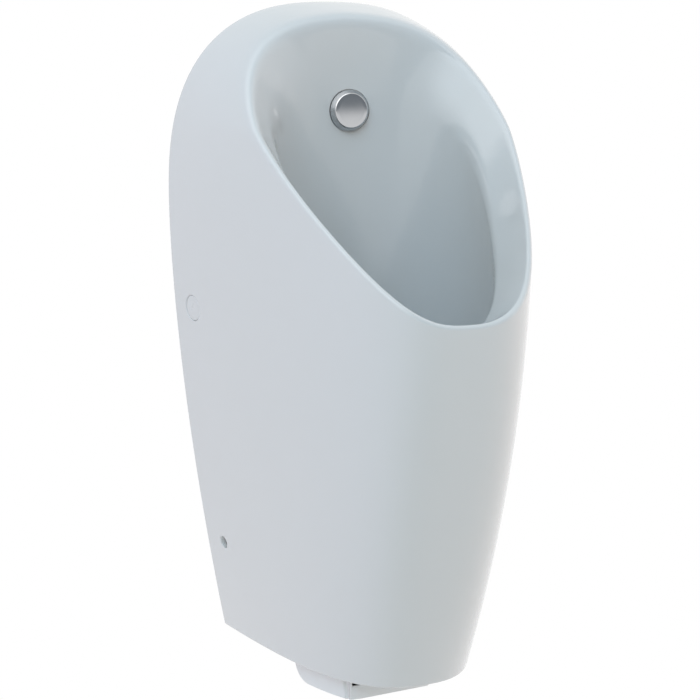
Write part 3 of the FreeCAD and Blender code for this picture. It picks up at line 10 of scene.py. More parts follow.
import bmesh
import bpy
import numpy as np
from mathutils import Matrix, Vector


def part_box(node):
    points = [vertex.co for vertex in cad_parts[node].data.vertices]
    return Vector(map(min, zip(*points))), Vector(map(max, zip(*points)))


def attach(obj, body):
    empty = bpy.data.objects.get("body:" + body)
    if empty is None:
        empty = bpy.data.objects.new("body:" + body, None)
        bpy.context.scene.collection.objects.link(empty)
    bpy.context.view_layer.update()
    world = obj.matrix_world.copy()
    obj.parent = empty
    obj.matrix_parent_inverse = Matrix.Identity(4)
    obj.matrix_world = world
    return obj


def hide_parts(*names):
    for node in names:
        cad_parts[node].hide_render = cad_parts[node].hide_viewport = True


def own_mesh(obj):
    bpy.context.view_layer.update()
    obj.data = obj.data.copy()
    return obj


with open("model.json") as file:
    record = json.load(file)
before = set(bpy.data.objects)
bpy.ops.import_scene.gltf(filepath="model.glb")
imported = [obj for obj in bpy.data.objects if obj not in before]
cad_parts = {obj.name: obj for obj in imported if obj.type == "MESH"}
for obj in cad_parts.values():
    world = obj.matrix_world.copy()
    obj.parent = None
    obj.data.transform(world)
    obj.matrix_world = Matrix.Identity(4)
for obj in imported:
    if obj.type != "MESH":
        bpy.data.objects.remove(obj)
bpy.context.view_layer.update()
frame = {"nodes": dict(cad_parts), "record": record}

MM = 0.001


def corners(node):
    """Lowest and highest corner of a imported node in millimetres."""
    low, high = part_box(node)
    return np.array(low) / MM, np.array(high) / MM


# ------------------------------------------------------------------ meshes

def add_object(name, mesh):
    """Object of a mesh or a curve, at the origin."""
    piece = bpy.data.objects.new(name, mesh)
    bpy.context.scene.collection.objects.link(piece)
    return piece


def make_mesh(name, points, faces, sharp=32.0):
    """Object of points in millimetres, smooth where faces meet at less than the sharp angle."""
    mesh = bpy.data.meshes.new(name)
    mesh.from_pydata((np.asarray(points).reshape(-1, 3) * MM).tolist(), [], faces)
    mesh.validate()
    turned = bmesh.new()
    turned.from_mesh(mesh)
    bmesh.ops.recalc_face_normals(turned, faces=turned.faces)
    turned.to_mesh(mesh)
    turned.free()
    shade(mesh, sharp)
    return add_object(name, mesh)


def shade(mesh, sharp=32.0):
    """Smooth shading, broken where faces meet at more than the sharp angle."""
    mesh.polygons.foreach_set("use_smooth", np.ones(len(mesh.polygons), dtype=bool))
    mesh.set_sharp_from_angle(angle=math.radians(sharp))


def grid_faces(rows, columns, closed_rows=False):
    """Quads between neighbours of a grid whose columns, and perhaps rows, run round to the first."""
    j = np.arange(rows if closed_rows else rows - 1)[:, None]
    i = np.arange(columns)[None, :]
    up, along = (j + 1) % rows, (i + 1) % columns
    quads = np.stack([j * columns + i, j * columns + along, up * columns + along, up * columns + i], -1)
    return quads.reshape(-1, 4).tolist()


def closed_rings(name, rings, ends):
    """Closed mesh of rings of points, each outer ring joined to its end point by a fan."""
    count, sides = rings.shape[:2]
    points = np.vstack([rings.reshape(-1, 3), ends])
    faces, last = grid_faces(count, sides), (count - 1) * sides
    for i in range(sides):
        after = (i + 1) % sides
        faces += [[len(points) - 2, after, i], [len(points) - 1, last + i, last + after]]
    return make_mesh(name, points, faces)


def lathe(name, profile, place, axis, sides=96):
    """Solid of revolution: (radius, height) pairs turned about an axis through the place.

    The first and last pair have radius 0, so each end is one point joined by a fan.
    """
    profile = np.array(profile, dtype=float)
    axis = np.array(axis, dtype=float)
    side = np.array([0.0, 0.0, 1.0]) if abs(axis[2]) < 0.5 else np.array([1.0, 0.0, 0.0])
    other = np.cross(axis, side)
    turn = np.linspace(0, 2 * np.pi, sides, endpoint=False)
    ring = np.cos(turn)[:, None] * side + np.sin(turn)[:, None] * other
    body = profile[1:-1]
    rings = body[:, 0, None, None] * ring[None] + body[:, 1, None, None] * axis + np.array(place)
    ends = np.array([profile[0, 1] * axis, profile[-1, 1] * axis]) + np.array(place)
    return closed_rings(name, rings, ends)


def box_mesh(name, low, high):
    """Closed box between two corners."""
    points = [[(low, high)[x][0], (low, high)[y][1], (low, high)[z][2]]
              for z in (0, 1) for y in (0, 1) for x in (0, 1)]
    faces = [[0, 2, 3, 1], [4, 5, 7, 6], [0, 1, 5, 4], [2, 6, 7, 3], [0, 4, 6, 2], [1, 3, 7, 5]]
    return make_mesh(name, points, faces)


def joined(name, pieces):
    """One object out of several that don't touch, for a single boolean."""
    points, faces = [], []
    for piece in pieces:
        start = len(points)
        points += [list(v.co / MM) for v in piece.data.vertices]
        faces += [[start + i for i in face.vertices] for face in piece.data.polygons]
        bpy.data.objects.remove(piece)
    return make_mesh(name, points, faces)


def apply_modifiers(piece, sharp=32.0):
    """Put the result of the modifiers into the piece's mesh."""
    bpy.context.view_layer.update()
    graph = bpy.context.evaluated_depsgraph_get()
    mesh = bpy.data.meshes.new_from_object(piece.evaluated_get(graph))
    piece.modifiers.clear()
    piece.data = mesh
    shade(mesh, sharp)


def combine(piece, tool, operation, sharp=32.0):
    """Boolean of the piece with a tool, which is removed."""
    step = piece.modifiers.new("combine", "BOOLEAN")
    step.object, step.operation, step.solver = tool, operation, "EXACT"
    apply_modifiers(piece, sharp)
    bpy.data.objects.remove(tool)


def welded_copy(name, node):
    """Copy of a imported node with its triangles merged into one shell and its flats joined."""
    mesh = frame["nodes"][node].data.copy()
    mesh.transform(frame["nodes"][node].matrix_world)
    welded = bmesh.new()
    welded.from_mesh(mesh)
    bmesh.ops.remove_doubles(welded, verts=welded.verts, dist=0.002 * MM)
    bmesh.ops.dissolve_limit(welded, angle_limit=math.radians(0.6), verts=welded.verts, edges=welded.edges)
    welded.to_mesh(mesh)
    welded.free()
    return add_object(name, mesh)


def arris(piece, width, sharp=30.0):
    """Round over the arrises by a bevel of the width."""
    bevel = piece.modifiers.new("arris", "BEVEL")
    bevel.width, bevel.segments, bevel.limit_method = width * MM, 3, "ANGLE"
    bevel.angle_limit, bevel.use_clamp_overlap = math.radians(sharp), True
    apply_modifiers(piece, 36)
    return piece


# ------------------------------------------------------------------ outer form of the ceramic

CROWN, SHOULDER, HALF_WIDTH = 650.0, 455.0, 171.7
NARROWING, NARROWING_POWER, CROWN_POWER = 54.2, 1.62, 2.55
BELLY_HEIGHT, BELLY_DEPTH, BASE_DEPTH = 527.4, 361.8, 250.6
BELLY_POWER, CROWN_DEPTH_POWER = 1.85, 1.2
TAPER, SIDE_PULL, NOSE_WIDTH = (0.241, 0.4475, 0.202), (0.837, 0.995, 0.811), (0.493, 0.4135, 0.124)
SKIN, BOWL = 9.0, 11.0
HALVINGS = 48


def through(base, middle, top, height):
    """Quadratic through three values at the base, half height and top of the ceramic."""
    f = height / CROWN
    return base + (top - base) * f + 4 * (middle - 0.5 * (base + top)) * f * (1 - f)


def wall_reach(z, inset=0.0):
    """Half width on the wall: a power curve below the shoulder, a superellipse above it."""
    low = (HALF_WIDTH - inset
           - NARROWING * (np.clip(SHOULDER - z, 0, None) / SHOULDER) ** NARROWING_POWER)
    rise = np.clip((z - SHOULDER) / (CROWN - inset - SHOULDER), 0, 1)
    high = (HALF_WIDTH - inset) * (1 - rise ** CROWN_POWER) ** (1 / CROWN_POWER)
    return np.where(z <= SHOULDER, low, high)


def front_reach(z, inset=0.0):
    """Depth of the front, as if there were no opening: power curves below and above the belly."""
    gain = BELLY_DEPTH - BASE_DEPTH
    low = (BELLY_DEPTH - inset
           - gain * (np.clip(BELLY_HEIGHT - z, 0, None) / BELLY_HEIGHT) ** BELLY_POWER)
    rise = np.clip((z - BELLY_HEIGHT) / (CROWN - inset - BELLY_HEIGHT), 0, 1)
    high = (BELLY_DEPTH - inset) * (1 - rise ** CROWN_DEPTH_POWER) ** (1 / CROWN_DEPTH_POWER)
    return np.where(z <= BELLY_HEIGHT, low, high)


def section_shape(z):
    """Taper, side pull and nose width of the plan section, which is one cubic from wall to nose."""
    return through(*TAPER, z), through(*SIDE_PULL, z), through(*NOSE_WIDTH, z)


def section_point(z, t, inset=0.0):
    """Width and depth on the plan section at height z; t runs from 0 on the wall to 1 at the nose."""
    w, d = wall_reach(z, inset), front_reach(z, inset)
    taper, side, nose = section_shape(z)
    s = 1 - t
    width = w * (s ** 3 + 3 * s * s * t * (1 - taper) + 3 * s * t * t * nose)
    depth = d * (3 * s * s * t * side + 3 * s * t * t + t ** 3)
    return width, depth


def width_at(depth, z, inset=0.0):
    """Half width of the outer surface, or of one inset from it, found by halving t."""
    low, high = np.zeros_like(depth), np.ones_like(depth)
    for _ in range(HALVINGS):
        t = 0.5 * (low + high)
        behind = section_point(z, t, inset)[1] < depth
        low, high = np.where(behind, t, low), np.where(behind, high, t)
    return section_point(z, 0.5 * (low + high), inset)[0]


# ------------------------------------------------------------------ rim, fold and basin

HALF = 120
COLUMNS = 2 * HALF
RIM_BACK_HEIGHT, RIM_LIP_HEIGHT = 637.0, 363.5
RIM_BACK_ANGLE, RIM_LIP_ANGLE = math.radians(65.6), math.radians(72.0)
RIM_BACK_PULL, RIM_LIP_PULL = 107.5, 41.3
LAND = 4.0
TURN = np.linspace(0, np.pi, HALF + 1)
FLOOR, DRAIN_DEPTH, FLOOR_RADIUS = 152.0, 128.0, 45.0
FOLD_BACK, FOLD_FRONT, FOLD_HALF_WIDTH = (61.3, 575.3), (299.2, 343.6), 101.3
EGG, SQUARE = 12.9, 6.4
BACK_POWER, FRONT_POWER, SIDE_POWER = 3.0, 1.8, 2.2


def even_steps(curve, count, dense=2400):
    """Points at even lengths along a curve given as a function of an array from 0 to 1."""
    u = 0.5 - 0.5 * np.cos(np.linspace(0, np.pi, dense))
    points = curve(u)
    steps = np.linalg.norm(np.diff(points, axis=0), axis=1)
    length = np.concatenate([[0], np.cumsum(steps)])
    return curve(np.interp(np.linspace(0, length[-1], count), length, u))


def rim_curve(u):
    """Right half of the opening: a cubic in side view, pushed out sideways to the outer surface."""
    back = np.array([-front_reach(RIM_BACK_HEIGHT), RIM_BACK_HEIGHT])
    lip = np.array([-front_reach(RIM_LIP_HEIGHT), RIM_LIP_HEIGHT])
    start = -np.array([math.cos(RIM_BACK_ANGLE), math.sin(RIM_BACK_ANGLE)])
    end = -np.array([math.cos(RIM_LIP_ANGLE), math.sin(RIM_LIP_ANGLE)])
    poles = [back, back + start * RIM_BACK_PULL, lip - end * RIM_LIP_PULL, lip]
    weights = [(1 - u) ** 3, 3 * (1 - u) ** 2 * u, 3 * (1 - u) * u * u, u ** 3]
    side = sum(w[:, None] * p for w, p in zip(weights, poles))
    return np.column_stack([width_at(-side[:, 0], side[:, 1]), side])


def round_width(least, more, reach):
    """Width of a rounding by column: more than the least at the back, by a smooth step less to the lip."""
    x = np.clip(TURN / np.pi * reach, 0, 1)
    return least + more * (1 - x * x * (3 - 2 * x))


def unit(v):
    """Vectors of the last axis brought to length 1."""
    return v / np.maximum(np.linalg.norm(v, axis=-1, keepdims=True), 1e-9)


def along_loop(points):
    """Unit tangents of a right half outline; across the middle at both ends."""
    tangent = np.gradient(points, axis=0)
    tangent[0], tangent[-1] = (1, 0, 0), (-1, 0, 0)
    return unit(tangent)


def fold_loop(sunk, grow=0.0):
    """Right half of a basin section; sunk, which may differ by column, is 0 at the fold, 1 on the floor.

    The outline is an ellipse with two harmonics that make it egg-shaped and a little square. Its
    back, front and half width run down to the floor's circle as superellipse arcs of the height.
    The back and the front of the fold are given as (depth, height).
    """
    def ease(start, end, power):
        return end + (start - end) * (1 - np.clip(sunk, 0, 1) ** power) ** (1 / power)

    back_y = ease(FOLD_BACK[0], DRAIN_DEPTH - FLOOR_RADIUS, BACK_POWER) - grow
    front_y = ease(FOLD_FRONT[0], DRAIN_DEPTH + FLOOR_RADIUS, FRONT_POWER) + grow
    floor = FLOOR - grow * sunk
    back_z = FOLD_BACK[1] + (floor - FOLD_BACK[1]) * sunk
    front_z = FOLD_FRONT[1] + (floor - FOLD_FRONT[1]) * sunk
    half = ease(FOLD_HALF_WIDTH, FLOOR_RADIUS, SIDE_POWER) + grow
    x = half * np.sin(TURN) + EGG * (1 - sunk) * np.sin(2 * TURN) + SQUARE * (1 - sunk) * np.sin(3 * TURN)
    f = 0.5 - 0.5 * np.cos(TURN)
    return np.column_stack([x, -(back_y + (front_y - back_y) * f), back_z + (front_z - back_z) * f])


def drain_loop(radius, z):
    """Right half of a circle round the drain."""
    return np.column_stack([radius * np.sin(TURN), -DRAIN_DEPTH + radius * np.cos(TURN),
                            np.full(HALF + 1, z)])


def bend(a, corner, b, steps):
    """Rows of a quadratic curve that rounds the corner between a and b."""
    rows = []
    for t in np.linspace(0, 1, steps):
        rows.append((1 - t) ** 2 * a + 2 * t * (1 - t) * corner + t * t * b)
    return rows


def bend_wide(a, first, second, b, steps):
    """Rows of a cubic curve over two neighbouring corners."""
    rows = []
    for t in np.linspace(0, 1, steps):
        s = 1 - t
        rows.append(s ** 3 * a + 3 * s * s * t * first + 3 * s * t * t * second + t ** 3 * b)
    return rows


def towards(a, b, distance):
    """Points at a distance from a on the way to b."""
    return a + unit(b - a) * np.broadcast_to(distance, (len(a),))[:, None]


def straight(a, b, steps):
    """Rows between two loops, without the first and the last."""
    return [a + (b - a) * f for f in np.linspace(0, 1, steps + 2)[1:-1]]


# ------------------------------------------------------------------ the ceramic body

CORNER_COLUMN = 86
OUTER_ROWS, BASIN_ROWS, INNER_ROWS, FIRST_INNER_ROW = 56, 34, 26, 4
BLUNT = 2.0
RIM_ROUND, FOLD_ROUND = (3.2, 12.0, 1.25), (7.0, 20.0, 1.6)
DRAIN_HOLE, DRAIN_SEAT, SEAT_DEPTH, SEAT_ROUND = 37.0, 42.0, 3.0, 0.8
DRAIN_BACK, MEETING_INSET = 46.0, 17.0


def wall_contour(u):
    """Outline on the wall from the crown (u = 0) down to the lower corner (u = 1)."""
    split = 0.5
    crown = np.cos(np.clip(u / split, 0, 1) * np.pi / 2)
    z_high = SHOULDER + (CROWN - SHOULDER) * crown ** (2 / CROWN_POWER)
    z = np.where(u < split, z_high, SHOULDER * (1 - (u - split) / split))
    return np.column_stack([wall_reach(z), np.zeros_like(u), z])


def foot_contour(u):
    """Lower edge from the corner on the wall (u = 0) to the front (u = 1)."""
    width, depth = section_point(np.zeros_like(u), u)
    return np.column_stack([width, -depth, np.zeros_like(u)])


def outer_sheet(rim, edge, share):
    """Rows of the outer surface at shares of the way from the rim (0) to the edge (1).

    In side view a point is the straight mixture of rim and edge, plus what the crown line and the
    front line bulge beyond their own chords; its width then comes from the plan section.
    """
    rest = 1 - share
    depth = -(rest * rim[:, 1] + share * edge[:, 1])
    z = rest * rim[:, 2] + share * edge[:, 2]
    crown_rise = 1 - (rest * -rim[0, 1] / BELLY_DEPTH) ** CROWN_DEPTH_POWER
    crown_z = BELLY_HEIGHT + (CROWN - BELLY_HEIGHT) * crown_rise ** (1 / CROWN_DEPTH_POWER)
    to_front = 0.5 - 0.5 * np.cos(TURN)
    z = z + (1 - to_front) * (crown_z - rest * rim[0, 2] - share * edge[0, 2])
    front_chord = -(rest * rim[-1, 1] + share * edge[-1, 1])
    depth = depth + to_front * (front_reach(rest * rim[-1, 2]) - front_chord)
    width = width_at(depth, z)
    width[..., 0] = width[..., -1] = 0
    return np.stack([width, -depth, z], -1)


def outer_normals(sheet):
    """Outward unit normals of the outer sheet."""
    down, along = np.gradient(sheet, axis=0), np.gradient(sheet, axis=1)
    normal = unit(np.cross(along, down))
    normal[:, 0, 0] = normal[:, -1, 0] = 0
    return unit(normal * np.sign(np.sum(normal * (1, -1, 0), -1).mean()))


def edge_inside(edge):
    """The edge moved inwards by the thickness of the skin, within the wall and the lower plane."""
    inner = edge.copy()
    on_wall, below = slice(0, CORNER_COLUMN + 1), slice(CORNER_COLUMN, None)
    for part, plane, end, across, middle in ((on_wall, (0, 1, 0), 0, 1, (1, 0, 1)),
                                             (below, (0, 0, 1), -1, -1, (1, 0, 0))):
        tangent = np.gradient(edge[part], axis=0) * (1 - np.array(plane))
        tangent[end] = (across, 0, 0)
        inward = unit(np.cross(tangent, plane))
        inward *= np.sign(np.sum(inward * -edge[part] * middle, -1).mean())
        inner[part] = edge[part] + inward * SKIN
    inner[CORNER_COLUMN] = (edge[CORNER_COLUMN, 0] - SKIN, 0, 0)
    return inner


def ceramic_rows():
    """Right half of the whole skin as rows.

    They go from the drain over basin, collar, rim, outside and edge to the inside and the underside.
    """
    rim = even_steps(rim_curve, HALF + 1)
    rim[0, 0] = rim[-1, 0] = 0
    lower = HALF - CORNER_COLUMN
    edge = np.vstack([even_steps(wall_contour, CORNER_COLUMN + 1),
                      even_steps(foot_contour, lower + 1)[1:]])
    edge[0] = (0, 0, CROWN)
    edge[-1, 0] = 0
    fold = fold_loop(0.0)

    rim_round, fold_round = round_width(*RIM_ROUND), round_width(*FOLD_ROUND)

    slope = unit(rim[-1] - rim[0])
    inward = unit(np.cross(along_loop(rim), np.broadcast_to(np.cross(slope, (1, 0, 0)), rim.shape)))
    inward *= np.sign(np.sum(inward * (rim.mean(0) * (0, 1, 1) - rim), -1))[:, None]
    land = rim + inward * LAND
    land[0, 0] = land[-1, 0] = 0

    sheet = outer_sheet(rim, edge, np.linspace(0, 1, OUTER_ROWS + 1)[:, None])
    start = rim_round / np.linalg.norm(edge - rim, axis=1)
    finish_at = 1 - 1.5 * BLUNT / np.linalg.norm(edge - rim, axis=1)

    rows = [drain_loop(DRAIN_HOLE, FLOOR - BOWL), drain_loop(DRAIN_HOLE, FLOOR - SEAT_DEPTH),
            drain_loop(DRAIN_SEAT, FLOOR - SEAT_DEPTH), drain_loop(DRAIN_SEAT, FLOOR - SEAT_ROUND),
            drain_loop(DRAIN_SEAT + SEAT_ROUND / 4, FLOOR - SEAT_ROUND / 4),
            drain_loop(DRAIN_SEAT + SEAT_ROUND, FLOOR)]
    begin = fold_round / (fold[:, 2] - FLOOR)
    for f in np.sin(np.linspace(np.pi / 2, 0, BASIN_ROWS)):
        rows.append(fold_loop(begin + (1 - begin) * f))
    rows += bend(rows[-1], fold, towards(fold, land, fold_round), 9)[1:]
    rim_start = towards(land, fold, rim_round)
    rows += straight(rows[-1], rim_start, 12)
    rows += bend_wide(rim_start, land, rim, outer_sheet(rim, edge, start), 12)
    for f in np.linspace(0, 1, OUTER_ROWS)[1:]:
        rows.append(outer_sheet(rim, edge, start + (finish_at - start) * f))
    rows += edge_round(rows[-1], edge, edge_inside(edge))

    normals = outer_normals(sheet)
    for j in np.linspace(OUTER_ROWS - 1, FIRST_INNER_ROW, INNER_ROWS).astype(int):
        rows.append(sheet[j] - normals[j] * SKIN)
    collar_normal = unit(np.cross(along_loop(rim), fold - rim))
    collar_normal *= np.sign(np.sum(collar_normal * (0, -1, 1), -1).mean())
    meet = rim - unit(normals[0] + collar_normal) * MEETING_INSET
    meet[0, 0] = meet[-1, 0] = 0
    under = fold_loop(0.0, BOWL)
    slope_up = (FOLD_BACK[1] - FOLD_FRONT[1]) / (FOLD_FRONT[0] - FOLD_BACK[0]) * BOWL
    f = 0.5 - 0.5 * np.cos(TURN)
    under[:, 2] += slope_up * (1 - 2 * f)
    rows.append(meet)
    rows += straight(meet, under, 7)
    rows.append(under)
    for f in np.sin(np.linspace(0, np.pi / 2, 22))[1:]:
        rows.append(fold_loop(f, BOWL))
    rows.append(drain_loop(DRAIN_BACK, FLOOR - BOWL))
    return np.array(rows)


def edge_round(last, edge, inner):
    """Rows over the edge on the wall and below, from the outer sheet's last row to the inside."""
    rows = bend(towards(edge, last, BLUNT), edge, towards(edge, inner, BLUNT), 5)
    return rows + [towards(inner, edge, BLUNT / 2), inner]


def whole_loops(rows):
    """Right halves completed with their mirror image: (rows, columns, 3)."""
    left = rows[:, -2:0:-1] * (-1, 1, 1)
    return np.concatenate([rows, left], axis=1)


SIDE_DEPTH, UPPER_HOLE, LOWER_HOLE = 35.0, 346.0, 100.0
UPPER_BOSS, LOWER_BOSS, BOSS_RADIUS = 141.3, 110.3, 20.0
UPPER_BORE, LOWER_BORE, BORE_RADIUS = 134.0, 103.0, 5.25
CAP_RADIUS, CAP_SINK, SCREW_RADIUS, SCREW_SINK = 13.0, 9.0, 6.3, 10.0
FLARE, FLARE_MOUTH, PAST = 1.2, 0.74, 5.0
SENSOR_BOSS, SENSOR_SEAT = ((-54, -60, 398), (-10, -51, 458)), ((-52, -51, 400), (-12, -36, 456))
NOZZLE_HEIGHT, NOZZLE_SEAT, NOZZLE_BACK = 541.5, 60.8, 52.0
NOZZLE_CUT_START, NOZZLE_CUT_END = NOZZLE_BACK - 35, NOZZLE_SEAT + 30
SPOT_RADIUS, BACK_RADIUS, STEM_RADIUS = 21.6, 18.0, 8.3
UPPER_SKIN, LOWER_SKIN = [float(width_at(np.array([SIDE_DEPTH]), np.array([z]))[0])
                          for z in (UPPER_HOLE, LOWER_HOLE)]


def side_plug(name, side, z, rings, steps, sides=72):
    """Round plug across the skin of one side.

    A ring is (radius, depth): its points lie at the radius round the hole, and their x is the outer
    half width there less the depth. A step is (radius, x), flat. Both ends close in a point.
    """
    turn = np.linspace(0, 2 * np.pi, sides, endpoint=False)
    rows = []
    for radius, depth in rings:
        y, height = SIDE_DEPTH + radius * np.cos(turn), z + radius * np.sin(turn)
        rows.append(np.column_stack([side * (width_at(y, height) - depth), -y, height]))
    for radius, x in steps:
        rows.append(np.column_stack([np.full(sides, side * x), -SIDE_DEPTH - radius * np.cos(turn),
                                     z + radius * np.sin(turn)]))
    return closed_rings(name, np.array(rows), [rows[0].mean(0), rows[-1].mean(0)])


def hole_cutter(side, z, radius, seat, bore_end):
    """Cutter for a stepped side hole whose mouth runs into the glaze over a quarter round."""
    rings = [(0.5 * radius, -PAST), (radius + FLARE_MOUTH * FLARE, -PAST)]
    for angle in np.radians([15, 35, 55, 75, 90]):
        rings.append((radius + FLARE * (1 - math.sin(angle)), FLARE * (1 - math.cos(angle))))
    steps = [(radius, seat), (BORE_RADIUS, seat), (BORE_RADIUS, bore_end)]
    return side_plug("hole", side, z, rings, steps)


def ceramic_body():
    """The glazed shell with its bosses, its side holes, the nozzle's hole and the sensor's seat."""
    points = whole_loops(ceramic_rows())
    piece = make_mesh("ceramic", points, grid_faces(len(points), COLUMNS, closed_rows=True), 40)
    bosses = []
    for side in (1, -1):
        for reach, skin, z in ((UPPER_BOSS, UPPER_SKIN, UPPER_HOLE), (LOWER_BOSS, LOWER_SKIN, LOWER_HOLE)):
            profile = [(0, reach), (BOSS_RADIUS, reach), (BOSS_RADIUS, skin - PAST), (0, skin - PAST)]
            bosses.append(lathe("boss", profile, (0, -SIDE_DEPTH, z), (side, 0, 0)))
    bosses.append(box_mesh("sensor_boss", *SENSOR_BOSS))
    combine(piece, joined("bosses", bosses), "UNION", 40)
    cutters = []
    for side in (1, -1):
        cutters.append(hole_cutter(side, UPPER_HOLE, CAP_RADIUS, UPPER_SKIN - CAP_SINK, UPPER_BORE))
        cutters.append(hole_cutter(side, LOWER_HOLE, SCREW_RADIUS, LOWER_SKIN - SCREW_SINK, LOWER_BORE))
    cutters.append(lathe("nozzle_hole", [
        (0, NOZZLE_CUT_START), (BACK_RADIUS, NOZZLE_CUT_START), (BACK_RADIUS, NOZZLE_BACK),
        (STEM_RADIUS, NOZZLE_BACK), (STEM_RADIUS, NOZZLE_SEAT), (SPOT_RADIUS, NOZZLE_SEAT),
        (SPOT_RADIUS, NOZZLE_CUT_END), (0, NOZZLE_CUT_END)], (0, 0, NOZZLE_HEIGHT), (0, -1, 0)))
    cutters.append(box_mesh("sensor_seat", *SENSOR_SEAT))
    combine(piece, joined("holes", cutters), "DIFFERENCE", 40)
    return piece


# ------------------------------------------------------------------ caps, nozzle, tray and soft pieces

def side_cap(side):
    """Cap over an upper screw: its face follows the glaze, with a rounded edge and a hollow back."""
    gap, edge, wall, sunk = 0.15, 0.8, 2.0, 0.7
    radius = CAP_RADIUS - gap
    rings = [(reach, sunk) for reach in (0.5, 3.0, 6.0, 9.0, radius - edge)]
    for angle in np.radians([20, 40, 60, 80]):
        rings.append((radius - edge * (1 - math.sin(angle)), sunk + edge * (1 - math.cos(angle))))
    rings.append((radius, sunk + edge))
    floor, roof, inner = UPPER_SKIN - CAP_SINK, UPPER_SKIN - 2 * wall, radius - wall
    return side_plug("side_cap_right" if side > 0 else "side_cap_left", side, UPPER_HOLE, rings,
                     [(radius, floor), (inner, floor), (inner, roof), (2.0, roof)])


def nozzle_cap():
    """Turned shell: skirt, cone up to the slightly domed face, all arrises rounded, slot below."""
    skirt, cone, face, top, wall = 20.9, 2.4, 17.4, 8.3, 2.0
    profile = [(0, top - wall), (face - wall, top - wall), (skirt - wall, cone), (skirt - wall, 0)]
    profile += [(skirt - 0.3, 0), (skirt - 0.08, 0.08), (skirt, 0.3)]
    for f in np.linspace(0, 1, 5):
        profile.append(round_corner((skirt, 1.2), (skirt, cone), (20.2, 3.6), f))
    for f in np.linspace(0, 1, 7):
        profile.append(round_corner((18.0, 7.2), (face, top), (16.1, top + 0.04), f))
    for radius in (13, 10, 7, 4, 1.5):
        profile.append((radius, top + 0.2 * (1 - (radius / face) ** 2)))
    profile.append((0, top + 0.2))
    piece = lathe("nozzle_cap", profile, (0, -NOZZLE_SEAT, NOZZLE_HEIGHT), (0, -1, 0), 144)
    low = NOZZLE_HEIGHT - skirt
    slot = box_mesh("slot", (-7, -NOZZLE_SEAT - cone, low - 1), (7, -NOZZLE_SEAT + 1, low + 3))
    combine(piece, slot, "DIFFERENCE", 30)
    return piece


def round_corner(a, corner, b, t):
    """Point on the quadratic curve that rounds a corner of a profile."""
    return tuple((1 - t) ** 2 * p + 2 * t * (1 - t) * q + t * t * r for p, q, r in zip(a, corner, b))


def tray():
    """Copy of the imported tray, its arrises rounded, its corner groove broader and its slot lower.

    The old groove is filled and the slot's lower strip closed. In plan the new groove is a lopsided
    triangle on the side, beside the left front corner, and it tapers down. A mark of its outline is
    (length from the corner, depth).
    """
    inset, front, top, foot = 12.0, 206.0, 2.0, -22.0
    depths = np.array([front, front - 7.0])
    ends = np.column_stack([-width_at(depths, np.zeros(2), inset), -depths])
    along = unit(ends[1] - ends[0])
    out = np.array([-abs(along[1]), -abs(along[0])])

    def prism(name, lower, upper, past):
        """Upright prism between two outlines, standing past the tray's foot and top."""
        points = [(*(ends[0] + along * s - out * depth), z)
                  for marks, z in ((lower, foot - past), (upper, top + past)) for s, depth in marks]
        count = len(lower)
        caps = [list(range(count)), list(range(2 * count - 1, count - 1, -1))]
        return make_mesh(name, points, grid_faces(2, count) + caps)

    filling = [(0.1, 0), (0.1, 1.9), (7.2, 1.9), (7.2, 0)]
    foot_cut = [(0.6, -1), (0.6, 0), (4.2, 2.0), (5.6, 0), (5.6, -1)]
    top_cut = [(0.6, -1), (0.6, 0), (8.0, 2.2), (10.8, 0), (10.8, -1)]
    piece = arris(welded_copy("tray", "service_cover"), 0.6)
    combine(piece, prism("filler", filling, filling, 0), "UNION")
    combine(piece, box_mesh("strip", (-54.6, -front, -10.6), (-42.9, 2.5 - front, -8.2)), "UNION")
    combine(piece, prism("groove", foot_cut, top_cut, 1), "DIFFERENCE")
    return piece


def smooth_tube(name, radius, route):
    """Round tube on one NURBS line of order 3 with the route's points as its control points."""
    line = bpy.data.curves.new(name, "CURVE")
    line.dimensions, line.resolution_u = "3D", 16
    line.bevel_depth, line.bevel_resolution, line.use_fill_caps = radius * MM, 6, True
    spline = line.splines.new("NURBS")
    spline.points.add(len(route) - 1)
    for point, place in zip(spline.points, route):
        point.co = (*(c * MM for c in place), 1)
    spline.order_u, spline.use_endpoint_u = 3, True
    drawn = add_object(name, line)
    mesh = bpy.data.meshes.new_from_object(drawn)
    bpy.data.objects.remove(drawn)
    shade(mesh)
    return add_object(name, mesh)


def coil(name, node, wire, turns, around=10, steps=24):
    """Compression spring in a node's box, its wire a helix about the y axis.

    The wire's centre is (reach cos a, y, reach sin a) with y in proportion to a.
    """
    low, high = corners(node)
    middle, reach = (low + high) / 2, (high[0] - low[0]) / 2 - wire
    rise = high[1] - low[1] - 2 * wire
    angle = np.linspace(0, 2 * math.pi * turns, turns * steps + 1)
    radial = np.stack([np.cos(angle), 0 * angle, np.sin(angle)], -1)
    slope = 0 * angle + rise / (2 * math.pi * turns)
    tangent = np.stack([-reach * np.sin(angle), slope, reach * np.cos(angle)], -1)
    centre = middle + reach * radial
    centre[:, 1] = low[1] + wire + rise * angle / angle[-1]
    second = unit(np.cross(tangent, radial))
    turn = np.linspace(0, 2 * math.pi, around, endpoint=False)[:, None]
    circle = radial[:, None] * np.cos(turn) + second[:, None] * np.sin(turn)
    points = centre[:, None] + wire * circle
    last = len(angle) * around
    ends = [list(range(around)), list(range(last - around, last))]
    return make_mesh(name, points, grid_faces(len(angle), around) + ends)


